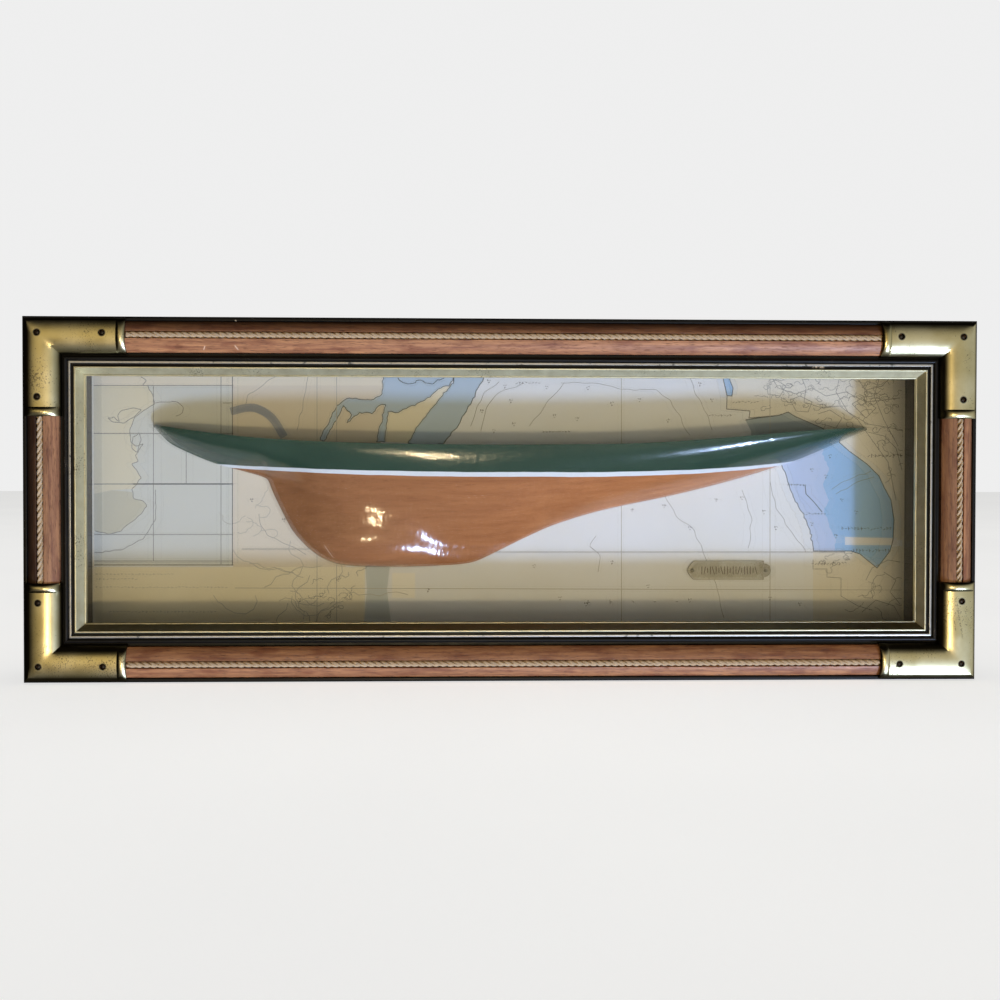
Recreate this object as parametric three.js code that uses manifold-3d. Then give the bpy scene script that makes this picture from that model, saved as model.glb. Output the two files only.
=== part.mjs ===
// Boat shadow box: a carved half hull over a printed sea chart, in a deep glazed frame
// with rope-inlaid wood bands and brass corner caps.
// Millimetres. X runs along the box to the viewer's right, Z is up, and the front faces -Y.
// The origin is the middle of the underside, on which the box stands.
import * as THREE from 'three';
import { mergeVertices } from 'three/addons/utils/BufferGeometryUtils.js';
import Module from 'manifold-3d';

const wasm = await Module();
wasm.setup();

// Outer size of the whole box.
const WIDTH = 560;
const HEIGHT = 213;
const DEPTH = 60;
// Air left between two pieces that touch in the real box.
const GAP = 0.3;
// Shortening of every mitred end, measured along the piece.
const MITRE_CLEARANCE = 0.22;

// Section of the frame. `across` runs inward from the outer edge, `back` runs from the
// plane of the corner caps' crown towards the wall.
const BEAD_RISE = 1.2;
const RAIL_BACK = DEPTH - BEAD_RISE;
const LIP = { width: 2.4, back: 4.2, arris: 1.1 };
const BAND = { width: 18, crown: 1.2, edge: 5.2, base: 9.7 };
const BAND_START = LIP.width + GAP;
const BAND_SEAT = BAND.base + GAP;
const BAND_END = BAND_START + BAND.width;
const STEP = {
  start: BAND_END + GAP,
  fillet: 6.8,
  bead: 22.6,
  groove: 25.5,
  line: 6.0,
  sight: 28.3,
  sightBack: 7.2,
};
const RABBET = { across: 24.5, back: 10.2 };
const SLIP = { lipBack: 6.4, lipWidth: 1.2, inner: 34, innerBack: 11.8, rear: 13.2 };

// Rope laid in a groove of the wood band.
const ROPE = { across: 10.7, back: 2.8, radius: 1.8 };
const ROPE_GROOVE = { half: ROPE.radius + GAP, shoulder: 3.4, floor: 4.9, chamfer: 1 };

// Pressed corner caps. Each arm is measured from the outer corner of the frame.
const CAP = { outer: 0.9, inner: 22.2, outerBack: 3.9, innerBack: 6.4, wall: 0.85, beadWidth: 5.2 };
const CORNERS = [
  { name: 'bottom_left', x: -1, z: -1, armX: 60, armZ: 58 },
  { name: 'bottom_right', x: 1, z: -1, armX: 58, armZ: 58 },
  { name: 'top_left', x: -1, z: 1, armX: 60, armZ: 58 },
  { name: 'top_right', x: 1, z: 1, armX: 58, armZ: 58 },
];
const CAP_NAIL = { inset: 10, reach: 47, hole: 1.5, head: 1.15, sunk: 0.55, shank: 0.7, length: 7.6 };

// Glass, chart and back board, which fill the rabbet behind the slip.
const GLASS = { back: SLIP.rear + GAP, thickness: 2 };
const CHART = { back: 50, thickness: 0.6 };
const BOARD = { back: CHART.back + CHART.thickness + GAP, thickness: 5 };

// Half hull, measured from its own middle and from the lower edge of its white stripe.
const HULL = { middle: 6.2, waterline: 121, aft: -223, fore: 224.5 };

// Brass name plate below the fore end of the hull.
const PLATE = { x: 143, z: 61.1, length: 44.8, height: 12, ear: 4.4, thickness: 0.8, pinAt: 23.3 };

// Sawtooth hanger sunk in the back of the top rail.
const HANGER = { length: 46, height: 7.5, thickness: 1, across: 12.2, teeth: 9 };
const POCKET = { depth: 3.3, wellDepth: 3, wellLength: 30 };

const FRONT = -DEPTH / 2 + BEAD_RISE;
const CENTRE = HEIGHT / 2;

const blackPaint = { color: 0x14130f, roughness: 0.35, metalness: 0 };
const stainedWood = { color: 0x8a4a34, roughness: 0.45, metalness: 0 };
const ropeFibre = { color: 0xc9ad7e, roughness: 0.9, metalness: 0 };
const giltPaint = { color: 0xb9ae84, roughness: 0.4, metalness: 0.6 };
const brass = { color: 0xb39a55, roughness: 0.35, metalness: 1 };
const darkSteel = { color: 0x3a352b, roughness: 0.5, metalness: 1 };

const box = new THREE.Group();
// Most pieces are placed from the middle of the frame, level with the caps' crown.
const frame = new THREE.Group();
frame.position.set(0, FRONT, CENTRE);
box.add(frame);

function addMesh(parent, name, geometry, look) {
  const mesh = new THREE.Mesh(geometry, new THREE.MeshStandardMaterial(look));
  mesh.name = name;
  parent.add(mesh);
  return mesh;
}

function toManifold(geometry) {
  const bare = geometry.index ? geometry.toNonIndexed() : geometry.clone();
  bare.deleteAttribute('normal');
  bare.deleteAttribute('uv');
  const merged = mergeVertices(bare, 1e-4);
  return new wasm.Manifold(new wasm.Mesh({
    numProp: 3,
    vertProperties: merged.attributes.position.array,
    triVerts: new Uint32Array(merged.index.array),
  }));
}

function toGeometry(solid) {
  const mesh = solid.getMesh();
  const geometry = new THREE.BufferGeometry();
  geometry.setAttribute('position', new THREE.BufferAttribute(mesh.vertProperties, 3));
  geometry.setIndex(new THREE.BufferAttribute(mesh.triVerts, 1));
  const flat = geometry.toNonIndexed();
  flat.computeVertexNormals();
  return flat;
}

function cutAway(geometry, cutters) {
  const whole = toManifold(geometry);
  return toGeometry(cutters.reduce((solid, cutter) => solid.subtract(toManifold(cutter)), whole));
}

// A round hole along Y, from one depth to another.
function holeAlongY(x, z, radius, from, to) {
  return new THREE.CylinderGeometry(radius, radius, to - from, 8).translate(x, (from + to) / 2, z);
}

function sectionShape(points) {
  return new THREE.Shape(points.map(([across, back]) => new THREE.Vector2(across, back)));
}

// A strip of constant section with both ends mitred at 45 degrees. It lies along X with its
// outer edge `edge` below the origin, as the bottom side of the frame.
function mitredStrip(section, outerLength, edge) {
  const geometry = new THREE.ExtrudeGeometry(section, { depth: 2, steps: 1, bevelEnabled: false });
  geometry.translate(0, 0, -1);
  const position = geometry.attributes.position;
  for (let i = 0; i < position.count; i += 1) {
    const halfLength = outerLength / 2 - position.getX(i) - MITRE_CLEARANCE;
    position.setZ(i, position.getZ(i) * halfLength);
  }
  geometry.translate(-edge, 0, 0).rotateY(-Math.PI / 2);
  geometry.computeVertexNormals();
  return geometry;
}

// A smooth curve through a list of [x, value] points, read as a function of x.
function curveThrough(points) {
  const slope = points.map((point, i) => {
    const before = points[Math.max(i - 1, 0)];
    const after = points[Math.min(i + 1, points.length - 1)];
    return (after[1] - before[1]) / (after[0] - before[0]);
  });
  return (x) => {
    let i = 0;
    while (i < points.length - 2 && x > points[i + 1][0]) i += 1;
    const [x0, y0] = points[i];
    const [x1, y1] = points[i + 1];
    const run = x1 - x0;
    const t = THREE.MathUtils.clamp((x - x0) / run, 0, 1);
    const t2 = t * t;
    const t3 = t2 * t;
    return (2 * t3 - 3 * t2 + 1) * y0 + (t3 - 2 * t2 + t) * run * slope[i]
      + (3 * t2 - 2 * t3) * y1 + (t3 - t2) * run * slope[i + 1];
  };
}

// A closed skin over a row of rings with equal point counts. `flatten` lays an end ring in a
// plane so that it can be filled.
function loft(rings, flatten) {
  const count = rings[0].length;
  const vertices = rings.flat();
  const faces = [];
  for (let r = 0; r < rings.length - 1; r += 1) {
    for (let i = 0; i < count; i += 1) {
      const a = r * count + i;
      const b = r * count + (i + 1) % count;
      faces.push([a, b, b + count], [a, b + count, a + count]);
    }
  }
  const last = (rings.length - 1) * count;
  const fill = (ring) => {
    const outline = ring.map(flatten);
    const turned = THREE.ShapeUtils.isClockWise(outline);
    const corners = outline.map((_, i) => (turned ? count - 1 - i : i));
    return THREE.ShapeUtils.triangulateShape(corners.map((i) => outline[i]), [])
      .map((face) => face.map((k) => corners[k]))
      .map(([a, b, c]) => (turned ? [a, c, b] : [a, b, c]));
  };
  fill(rings[0]).forEach(([a, b, c]) => faces.push([a, c, b]));
  fill(rings.at(-1)).forEach(([a, b, c]) => faces.push([a + last, b + last, c + last]));
  const volume = faces.reduce((sum, [a, b, c]) => (
    sum + vertices[a].dot(new THREE.Vector3().crossVectors(vertices[b], vertices[c]))), 0);
  const outward = volume < 0 ? faces.map(([a, b, c]) => [a, c, b]) : faces;
  const geometry = new THREE.BufferGeometry().setFromPoints(vertices);
  geometry.setIndex(outward.flat());
  const flat = geometry.toNonIndexed();
  flat.computeVertexNormals();
  return flat;
}

// Black moulded rail: a deep wall with a lip outside the wood band, a bead and a fine silvered
// line inside it, and a rabbet that takes the slip, glass, chart and back board.
function railSection() {
  const arris = [];
  for (let i = 0; i <= 3; i += 1) {
    const turn = (i / 3) * Math.PI / 2;
    arris.push([LIP.arris * (1 - Math.cos(turn)), LIP.back + LIP.arris * (1 - Math.sin(turn))]);
  }
  const beadHalf = (STEP.groove - STEP.bead) / 2;
  const bead = [];
  for (let i = 0; i <= 4; i += 1) {
    const turn = (i / 4) * Math.PI;
    bead.push([STEP.bead + beadHalf * (1 - Math.cos(turn)), STEP.fillet - 1.8 * Math.sin(turn)]);
  }
  return sectionShape([
    [0, RAIL_BACK],
    ...arris,
    [LIP.width, LIP.back],
    [LIP.width, BAND_SEAT],
    [STEP.start, BAND_SEAT],
    [STEP.start, STEP.fillet],
    ...bead,
    [STEP.groove + 0.3, STEP.line],
    [STEP.groove + 1.4, STEP.line],
    [STEP.groove + 1.6, STEP.sightBack],
    [STEP.sight, STEP.sightBack],
    [STEP.sight, RABBET.back],
    [RABBET.across, RABBET.back],
    [RABBET.across, RAIL_BACK],
  ].reverse());
}

// Depth of the half-round face of the wood band at a distance across the frame.
function bandFace(across) {
  const half = BAND.width / 2;
  const rise = BAND.edge - BAND.crown;
  const radius = (half * half + rise * rise) / (2 * rise);
  const off = across - (BAND_START + half);
  return BAND.crown + radius - Math.sqrt(radius * radius - off * off);
}

// Half-round stained wood band with a groove for the rope.
function bandSection() {
  const grooveStart = ROPE.across - ROPE_GROOVE.half;
  const grooveEnd = ROPE.across + ROPE_GROOVE.half;
  const face = (from, to, steps) => Array.from({ length: steps + 1 }, (_, i) => {
    const across = THREE.MathUtils.lerp(from, to, i / steps);
    return [across, bandFace(across)];
  });
  return sectionShape([
    [BAND_START, BAND.base],
    ...face(BAND_START, grooveStart, 5),
    [grooveStart, ROPE_GROOVE.shoulder],
    [grooveStart + ROPE_GROOVE.chamfer, ROPE_GROOVE.floor],
    [grooveEnd - ROPE_GROOVE.chamfer, ROPE_GROOVE.floor],
    [grooveEnd, ROPE_GROOVE.shoulder],
    ...face(grooveEnd, BAND_END, 6),
    [BAND_END, BAND.base],
  ].reverse());
}

// Gilt slip: a small lip, then a face that slopes back to the sight edge, with a tongue held
// under the rail.
function slipSection() {
  const start = STEP.sight + GAP;
  return sectionShape([
    [RABBET.across + GAP, SLIP.rear],
    [RABBET.across + GAP, RABBET.back + GAP],
    [start, RABBET.back + GAP],
    [start, SLIP.lipBack + 0.4],
    [start + 0.3, SLIP.lipBack],
    [start + SLIP.lipWidth, SLIP.lipBack],
    [SLIP.inner - 0.6, SLIP.innerBack - 0.9],
    [SLIP.inner, SLIP.innerBack],
    [SLIP.inner, SLIP.rear],
  ].reverse());
}

// Recess and well behind the hanger, as seen from the top side of the frame.
function hangerPocket(edge) {
  const z = -edge + HANGER.across;
  const tall = HANGER.height + 2;
  const wellDepth = POCKET.depth + POCKET.wellDepth;
  const shallow = new THREE.BoxGeometry(HANGER.length + 2, POCKET.depth * 2, tall);
  const well = new THREE.BoxGeometry(POCKET.wellLength, wellDepth * 2, tall);
  return [shallow.translate(0, RAIL_BACK, z), well.translate(0, RAIL_BACK, z)];
}

const hangerNailX = (HANGER.length / 2) - 4;

// The four sides: each is built as the bottom side and turned about the frame's centre.
const SIDES = [
  { name: 'bottom', turn: 0, length: WIDTH, edge: HEIGHT / 2 },
  { name: 'left', turn: Math.PI / 2, length: HEIGHT, edge: WIDTH / 2 },
  { name: 'top', turn: Math.PI, length: WIDTH, edge: HEIGHT / 2 },
  { name: 'right', turn: -Math.PI / 2, length: HEIGHT, edge: WIDTH / 2 },
];
for (const { name, turn, length, edge } of SIDES) {
  const side = new THREE.Group();
  side.rotation.y = turn;
  frame.add(side);

  let rail = mitredStrip(railSection(), length, edge);
  if (name === 'top') {
    const nailHoles = [-hangerNailX, hangerNailX].map((x) => (
      holeAlongY(x, -edge + HANGER.across, 1.1, RAIL_BACK - POCKET.depth - 9, RAIL_BACK)));
    rail = cutAway(rail, [...hangerPocket(edge), ...nailHoles]);
  }
  addMesh(side, `frame_rail_${name}`, rail, blackPaint);

  // Each cap nail passes the rope groove and enters the band below it.
  const nailReaches = [CAP_NAIL.inset, CAP_NAIL.reach];
  const nailPlaces = nailReaches.flatMap((reach) => [length / 2 - reach, reach - length / 2]);
  const holeEnd = CAP_NAIL.sunk + CAP_NAIL.length + 0.4;
  const nailHoles = nailPlaces.map((x) => (
    holeAlongY(x, -edge + CAP_NAIL.inset, CAP_NAIL.shank + GAP, 0, holeEnd)));
  const band = cutAway(mitredStrip(bandSection(), length, edge), nailHoles);
  addMesh(side, `wood_band_${name}`, band, stainedWood);

  addMesh(side, `gilt_slip_${name}`, mitredStrip(slipSection(), length, edge), giltPaint);
}

// Rope between the ends of two neighbouring caps.
function rope(name, start, end) {
  const run = new THREE.Vector3().subVectors(end, start);
  const geometry = new THREE.CylinderGeometry(ROPE.radius, ROPE.radius, run.length() - 2 * GAP, 10);
  const mesh = addMesh(frame, `rope_inlay_${name}`, geometry, ropeFibre);
  mesh.position.copy(start).lerp(end, 0.5);
  mesh.quaternion.setFromUnitVectors(new THREE.Vector3(0, 1, 0), run.normalize());
}

function ropePoint(corner, alongX) {
  const x = WIDTH / 2 - (alongX ? corner.armX : ROPE.across);
  const z = HEIGHT / 2 - (alongX ? ROPE.across : corner.armZ);
  return new THREE.Vector3(corner.x * x, ROPE.back, corner.z * z);
}

const [bottomLeft, bottomRight, topLeft, topRight] = CORNERS;
rope('bottom', ropePoint(bottomLeft, true), ropePoint(bottomRight, true));
rope('top', ropePoint(topLeft, true), ropePoint(topRight, true));
rope('left', ropePoint(bottomLeft, false), ropePoint(topLeft, false));
rope('right', ropePoint(bottomRight, false), ropePoint(topRight, false));

// One ring of the cap's pressed shell: a flattened half round, `rise` higher on a bead.
function capSection(rise) {
  const middle = (CAP.outer + CAP.inner) / 2;
  const half = (CAP.inner - CAP.outer) / 2;
  const steps = 12;
  const skin = (inset, lift) => Array.from({ length: steps + 1 }, (_, i) => {
    const turn = (i / steps) * Math.PI;
    const edgeBack = turn < Math.PI / 2 ? CAP.outerBack : CAP.innerBack;
    const crown = inset - lift;
    return [middle - (half - inset) * Math.cos(turn), edgeBack - (edgeBack - crown) * Math.sin(turn)];
  });
  return [...skin(0, rise), ...skin(CAP.wall, 0).reverse()];
}

// Pressed brass cap over one corner of the frame: two arms that meet in a mitre, each ending in
// a raised bead.
function capGeometry(corner) {
  const beadSteps = 6;
  const place = (x, back, z) => (
    new THREE.Vector3(corner.x * (WIDTH / 2 - x), back, corner.z * (HEIGHT / 2 - z)));
  const armRings = (reach, toPoint) => Array.from({ length: beadSteps + 1 }, (_, i) => {
    const along = reach - CAP.beadWidth * (i / beadSteps);
    const rise = BEAD_RISE * Math.sin((i / beadSteps) * Math.PI) ** 0.7;
    return capSection(i === 0 ? 0 : rise).map(([across, back]) => toPoint(along, across, back));
  });
  const rings = [
    ...armRings(corner.armX, (along, across, back) => place(along, back, across)),
    capSection(0).map(([across, back]) => place(across, back, across)),
    ...armRings(corner.armZ, (along, across, back) => place(across, back, along)).reverse(),
  ];
  const onX = rings[0][0].x === rings[0][1].x;
  const flatten = (point) => (
    new THREE.Vector2(onX && rings[0].includes(point) ? point.z : point.x, point.y));
  return loft(rings, flatten);
}

const nailSpots = [
  [CAP_NAIL.inset, CAP_NAIL.inset],
  [CAP_NAIL.reach, CAP_NAIL.inset],
  [CAP_NAIL.inset, CAP_NAIL.reach],
];

// A nail along Y with a low domed head, its top at y = 0 and its shank towards +Y.
function nailGeometry(headRadius, headHeight, shankRadius, length) {
  const profile = [
    new THREE.Vector2(0, 0),
    new THREE.Vector2(headRadius * 0.7, headHeight * 0.25),
    new THREE.Vector2(headRadius, headHeight * 0.7),
    new THREE.Vector2(headRadius, headHeight),
    new THREE.Vector2(shankRadius, headHeight),
    new THREE.Vector2(shankRadius, length - shankRadius),
    new THREE.Vector2(0, length),
  ];
  return new THREE.LatheGeometry(profile, 8);
}

for (const corner of CORNERS) {
  const spots = nailSpots.map(([x, z]) => [corner.x * (WIDTH / 2 - x), corner.z * (HEIGHT / 2 - z)]);
  const holes = spots.map(([x, z]) => holeAlongY(x, z, CAP_NAIL.hole, -2, 4));
  addMesh(frame, `corner_cap_${corner.name}`, cutAway(capGeometry(corner), holes), brass);
  spots.forEach(([x, z], i) => {
    const geometry = nailGeometry(CAP_NAIL.head, 0.7, CAP_NAIL.shank, CAP_NAIL.length);
    const nail = addMesh(frame, `cap_nail_${corner.name}_${i + 1}`, geometry, darkSteel);
    nail.position.set(x, CAP_NAIL.sunk, z);
  });
}

// Flat panes that fill the rabbet.
const paneWidth = WIDTH - 2 * (RABBET.across + GAP);
const paneHeight = HEIGHT - 2 * (RABBET.across + GAP);
function pane(thickness, back) {
  return new THREE.BoxGeometry(paneWidth, thickness, paneHeight).translate(0, back + thickness / 2, 0);
}

addMesh(frame, 'glass_pane', pane(GLASS.thickness, GLASS.back), {
  color: 0xffffff, roughness: 0.05, metalness: 0, transparent: true, opacity: 0.15,
});

const plateZ = PLATE.z - CENTRE;
const plateBack = CHART.back - GAP;
const pinPlaces = [-PLATE.pinAt, PLATE.pinAt].map((offset) => PLATE.x + offset);
const pinHoles = pinPlaces.map((x) => holeAlongY(x, plateZ, 0.9, CHART.back - 3, CHART.back + 4.4));
addMesh(frame, 'chart_sheet', cutAway(pane(CHART.thickness, CHART.back), pinHoles), {
  color: 0xc9c8c0, roughness: 0.8, metalness: 0,
});
addMesh(frame, 'back_board', cutAway(pane(BOARD.thickness, BOARD.back), pinHoles), {
  color: 0x8b6b4a, roughness: 0.85, metalness: 0,
});

// Lines of the hull: heights above the lower edge of the white stripe, and half breadths, at
// distances forward of the middle.
const sheerHeight = curveThrough([
  [-223, 31], [-169, 23.8], [-118, 20.3], [-40, 18.6], [40, 18.8], [77, 19.7], [121, 22.5], [182, 27.8],
  [224.5, 30.3],
]);
const profileHeight = curveThrough([
  [-223, 29.6], [-213.8, 20.2], [-203.4, 14.5], [-184.7, 6.9], [-166.1, 1.8], [-155.6, -1.4], [-152.4, -3.8],
  [-149.3, -11.5], [-138.9, -32.3], [-132.7, -40.6], [-124.4, -48.4], [-116.1, -53.4], [-107.7, -56],
  [-95, -57.3], [-69.5, -57.6], [-38, -56.3], [-27, -55], [-20, -52.8], [7.4, -39.4], [27.1, -30.8],
  [56.3, -22], [101.7, -12.3], [139.3, -2.8], [167.3, 5.7], [185.1, 11.9], [213.9, 24.4], [224.5, 29],
]);
// Line where the rounded body would run out if there were no keel below it.
const fairBottom = curveThrough([
  [-223, 18], [-190, 4], [-166, 0], [-149, -3.2], [-135, -8], [-115, -18], [-80, -33], [-53, -40],
  [-36, -44], [-16, -44], [20, -43], [60, -42], [224.5, -40],
]);
const keelHalfWidth = curveThrough([
  [-223, 0.8], [-156, 2], [-140, 6], [-122, 13.5], [-106, 18.5], [-92, 20.2], [-80, 19.4], [-66, 15.6],
  [-53, 11.4], [-40, 7.6], [-20, 4.6], [20, 4], [60, 3.4], [110, 2.3], [224.5, 0.4],
]);
const keelRounding = curveThrough([
  [-223, 3], [-156, 5], [-145, 8], [-120, 20], [-95, 32], [-70, 36], [-50, 40], [-32, 36], [0, 24],
  [50, 14], [110, 8], [224.5, 3],
]);
const deckHalfWidth = curveThrough([
  [-223, 0], [-221, 5], [-214, 10.5], [-200, 17.2], [-180, 22.6], [-150, 27.3], [-115, 30], [-70, 30.8],
  [-20, 30.8], [30, 30.2], [70, 28.8], [110, 26.4], [150, 23.3], [190, 19.6], [208, 15], [218, 9.2],
  [224.5, 0],
]);

// Half breadth at a height: a rounded body that runs out at its own bottom, joined smoothly to
// the thickness of the keel, which fades out towards the deck.
function hullHalfWidth(x, height) {
  const sheer = sheerHeight(x);
  const keel = profileHeight(x);
  const bodyBottom = keel + 3 * Math.log(1 + Math.exp((fairBottom(x) - keel) / 3));
  const sink = Math.min((sheer - height) / (sheer - bodyBottom), 1);
  const fullness = THREE.MathUtils.mapLinear(x, HULL.aft, HULL.fore, 1.15, 0.9);
  const body = deckHalfWidth(x) * (1 - sink ** 1.9) ** fullness;
  const rise = Math.min((height - keel) / keelRounding(x), 1);
  const keelBody = keelHalfWidth(x) * Math.sqrt(Math.max(1 - (1 - rise) ** 2.2, 0));
  const fade = THREE.MathUtils.smoothstep(sink, 0.1, 0.9);
  return (body ** 2.5 + (keelBody * fade) ** 2.5) ** 0.4;
}

// Carved half hull with a flat back: rings across its length, closer together where the
// sternpost and the forefoot turn.
function hullGeometry() {
  const runs = [
    [-223, -158, 7], [-158, -120, 13], [-120, -60, 6], [-60, -35, 2], [-35, -8, 5], [-8, 208, 15],
  ];
  const stations = runs.flatMap(([from, to, steps]) => (
    Array.from({ length: steps }, (_, i) => THREE.MathUtils.lerp(from, to, i / steps))));
  stations.push(208, 214, 219, 222, HULL.fore);
  const levels = 13;
  const rings = stations.map((x) => {
    const sheer = sheerHeight(x);
    const keel = profileHeight(x);
    const side = Array.from({ length: levels + 1 }, (_, i) => {
      const height = sheer - (sheer - keel) * Math.sin((i / levels) * Math.PI / 2);
      const breadth = i === levels ? 0 : Math.max(hullHalfWidth(x, height), 0);
      return new THREE.Vector3(x, -breadth, height);
    });
    return [new THREE.Vector3(x, 0, sheer), ...side];
  });
  return loft(rings, (point) => new THREE.Vector2(point.y, point.z));
}

addMesh(frame, 'half_hull', hullGeometry(), { color: 0x7a4f33, roughness: 0.2, metalness: 0 })
  .position.set(HULL.middle, CHART.back - GAP, HULL.waterline - CENTRE);

// Name plate with a pointed ear at the left, a rounded one at the right and a pin in each.
function plateGeometry() {
  const half = PLATE.length / 2;
  const tall = PLATE.height / 2;
  const shape = new THREE.Shape();
  shape.moveTo(-half, -tall);
  shape.lineTo(half, -tall);
  shape.lineTo(half, -PLATE.ear);
  shape.absarc(half, 0, PLATE.ear, -Math.PI / 2, Math.PI / 2, false);
  shape.lineTo(half, tall);
  shape.lineTo(-half, tall);
  shape.lineTo(-half - PLATE.ear * 0.41, PLATE.ear);
  shape.lineTo(-half - PLATE.ear * 0.73, PLATE.ear * 0.5);
  shape.lineTo(-half - PLATE.ear * 0.95, 0);
  shape.lineTo(-half - PLATE.ear * 0.73, -PLATE.ear * 0.5);
  shape.lineTo(-half - PLATE.ear * 0.41, -PLATE.ear);
  const geometry = new THREE.ExtrudeGeometry(shape, {
    depth: PLATE.thickness, steps: 1, bevelEnabled: false, curveSegments: 6,
  });
  return geometry.rotateX(Math.PI / 2).translate(PLATE.x, plateBack, plateZ);
}

addMesh(frame, 'name_plate', cutAway(plateGeometry(), pinPlaces.map((x) => (
  holeAlongY(x, plateZ, 0.9, CHART.back - 3, CHART.back + 1)))), brass);
pinPlaces.forEach((x, i) => {
  const geometry = nailGeometry(1.2, 0.6, 0.6, 5);
  const name = `plate_pin_${i === 0 ? 'left' : 'right'}`;
  const headTop = plateBack - PLATE.thickness - GAP - 0.6;
  addMesh(frame, name, geometry, brass).position.set(x, headTop, plateZ);
});

// Sawtooth hanger: a flat strip with teeth along its lower edge, nailed at both ends.
const hangerZ = CENTRE - HANGER.across;
const hangerFloor = RAIL_BACK - POCKET.depth;
function hangerGeometry() {
  const half = HANGER.length / 2;
  const tall = HANGER.height / 2;
  const toothRun = POCKET.wellLength - 6;
  const pitch = toothRun / HANGER.teeth;
  const outline = [[-half, tall], [-half, -tall]];
  for (let i = 0; i < HANGER.teeth; i += 1) {
    const start = -toothRun / 2 + i * pitch;
    outline.push([start, -tall], [start + pitch / 2, -tall + 1.6]);
  }
  outline.push([toothRun / 2, -tall], [half, -tall], [half, tall]);
  const geometry = new THREE.ExtrudeGeometry(sectionShape(outline), {
    depth: HANGER.thickness, steps: 1, bevelEnabled: false,
  });
  return geometry.rotateX(Math.PI / 2).translate(0, hangerFloor + GAP + HANGER.thickness, hangerZ);
}

const hangerHoles = [-hangerNailX, hangerNailX].map((x) => (
  holeAlongY(x, hangerZ, 1.1, hangerFloor - 1, hangerFloor + 3)));
addMesh(frame, 'sawtooth_hanger', cutAway(hangerGeometry(), hangerHoles), {
  color: 0x9a927c, roughness: 0.4, metalness: 1,
});
[-hangerNailX, hangerNailX].forEach((x, i) => {
  const name = `hanger_nail_${i === 0 ? 'right' : 'left'}`;
  const nail = addMesh(frame, name, nailGeometry(1.9, 0.8, 0.8, 9), darkSteel);
  nail.rotation.x = Math.PI;
  nail.position.set(-x, hangerFloor + 2 * GAP + HANGER.thickness + 0.8, hangerZ);
});

export default box;
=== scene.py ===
import math

import bpy
import numpy as np
from mathutils import Matrix, Vector
from mathutils.geometry import delaunay_2d_cdt


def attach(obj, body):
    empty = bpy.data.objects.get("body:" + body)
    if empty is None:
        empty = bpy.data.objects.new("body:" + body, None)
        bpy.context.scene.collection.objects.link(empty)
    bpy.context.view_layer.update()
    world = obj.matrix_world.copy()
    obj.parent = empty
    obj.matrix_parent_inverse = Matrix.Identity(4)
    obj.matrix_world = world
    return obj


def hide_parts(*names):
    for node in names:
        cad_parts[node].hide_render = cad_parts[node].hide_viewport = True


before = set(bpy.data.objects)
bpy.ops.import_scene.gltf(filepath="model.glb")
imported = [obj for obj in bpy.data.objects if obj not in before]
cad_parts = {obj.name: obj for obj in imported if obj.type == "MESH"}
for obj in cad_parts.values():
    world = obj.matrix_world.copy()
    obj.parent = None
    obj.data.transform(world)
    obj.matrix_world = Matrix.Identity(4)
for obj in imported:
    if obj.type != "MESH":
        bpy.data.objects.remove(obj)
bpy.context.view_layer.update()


# The camera looks at the glazed front from a little left of the middle and slightly above it.
# Its place was worked out from the corners of the frame and from the walls inside it.
SENSOR = 36.0
camera_data = bpy.data.cameras.new("camera")
camera_data.sensor_width = SENSOR
camera_data.lens = 40.0
camera_data.shift_x = 0.0037
camera_data.shift_y = -0.0130
camera_data.clip_start = 0.01
camera_data.clip_end = 30
camera = bpy.data.objects.new("camera", camera_data)
bpy.context.collection.objects.link(camera)
bpy.context.scene.camera = camera
camera.location = (-0.02433, -0.67597, 0.12370)
turn_right = Matrix.Rotation(math.radians(-1.672), 3, "Z")
look_level = Matrix.Rotation(math.radians(90 - 0.832), 3, "X")
lean = Matrix.Rotation(math.radians(0.087), 3, "Z")
camera_turn = turn_right @ look_level @ lean
camera.rotation_euler = camera_turn.to_euler()
bpy.context.scene.view_settings.view_transform = "Standard"


def seen_at(picture_points, depth):
    """Places on the upright plane y = depth that the camera shows at picture points, which are
    counted in thousandths of the picture from its top left corner. Each is where the line of
    sight meets that plane."""
    picture = np.asarray(picture_points, float) / 1000
    across = (picture[:, 0] - 0.5 + camera_data.shift_x) * SENSOR / camera_data.lens
    up = (0.5 - picture[:, 1] + camera_data.shift_y) * SENSOR / camera_data.lens
    sight = np.stack([across, up, -np.ones_like(up)], axis=1) @ np.array(camera_turn).T
    reach = (depth - camera.location.y) / sight[:, 1]
    return np.stack([camera.location.x + reach * sight[:, 0], camera.location.z + reach * sight[:, 2]], axis=1)


# Studio: a plain pale floor that the box stands on, a room that is darker on the left and above,
# a cool window low on the right and warm lamps a little below the camera. The light comes from
# below the level of the floor, so the floor throws no shadow, and isn't mirrored in the box.
def add_node(tree, kind, inputs=None, **settings):
    """A new node with its settings. An input given as a socket is linked, and any other value is
    set on it."""
    node = tree.nodes.new(kind)
    for name, value in settings.items():
        setattr(node, name, value)
    for name, value in (inputs or {}).items():
        if isinstance(value, bpy.types.NodeSocket):
            tree.links.new(value, node.inputs[name])
        else:
            node.inputs[name].default_value = value
    return node


def shade(red, green, blue):
    """The linear colour that shaders take, from the three 0-255 values a screen shows."""
    screen = np.array([red, green, blue]) / 255
    linear = np.where(screen < 0.04045, screen / 12.92, ((screen + 0.055) / 1.055) ** 2.4)
    return (*linear.tolist(), 1.0)


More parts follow.
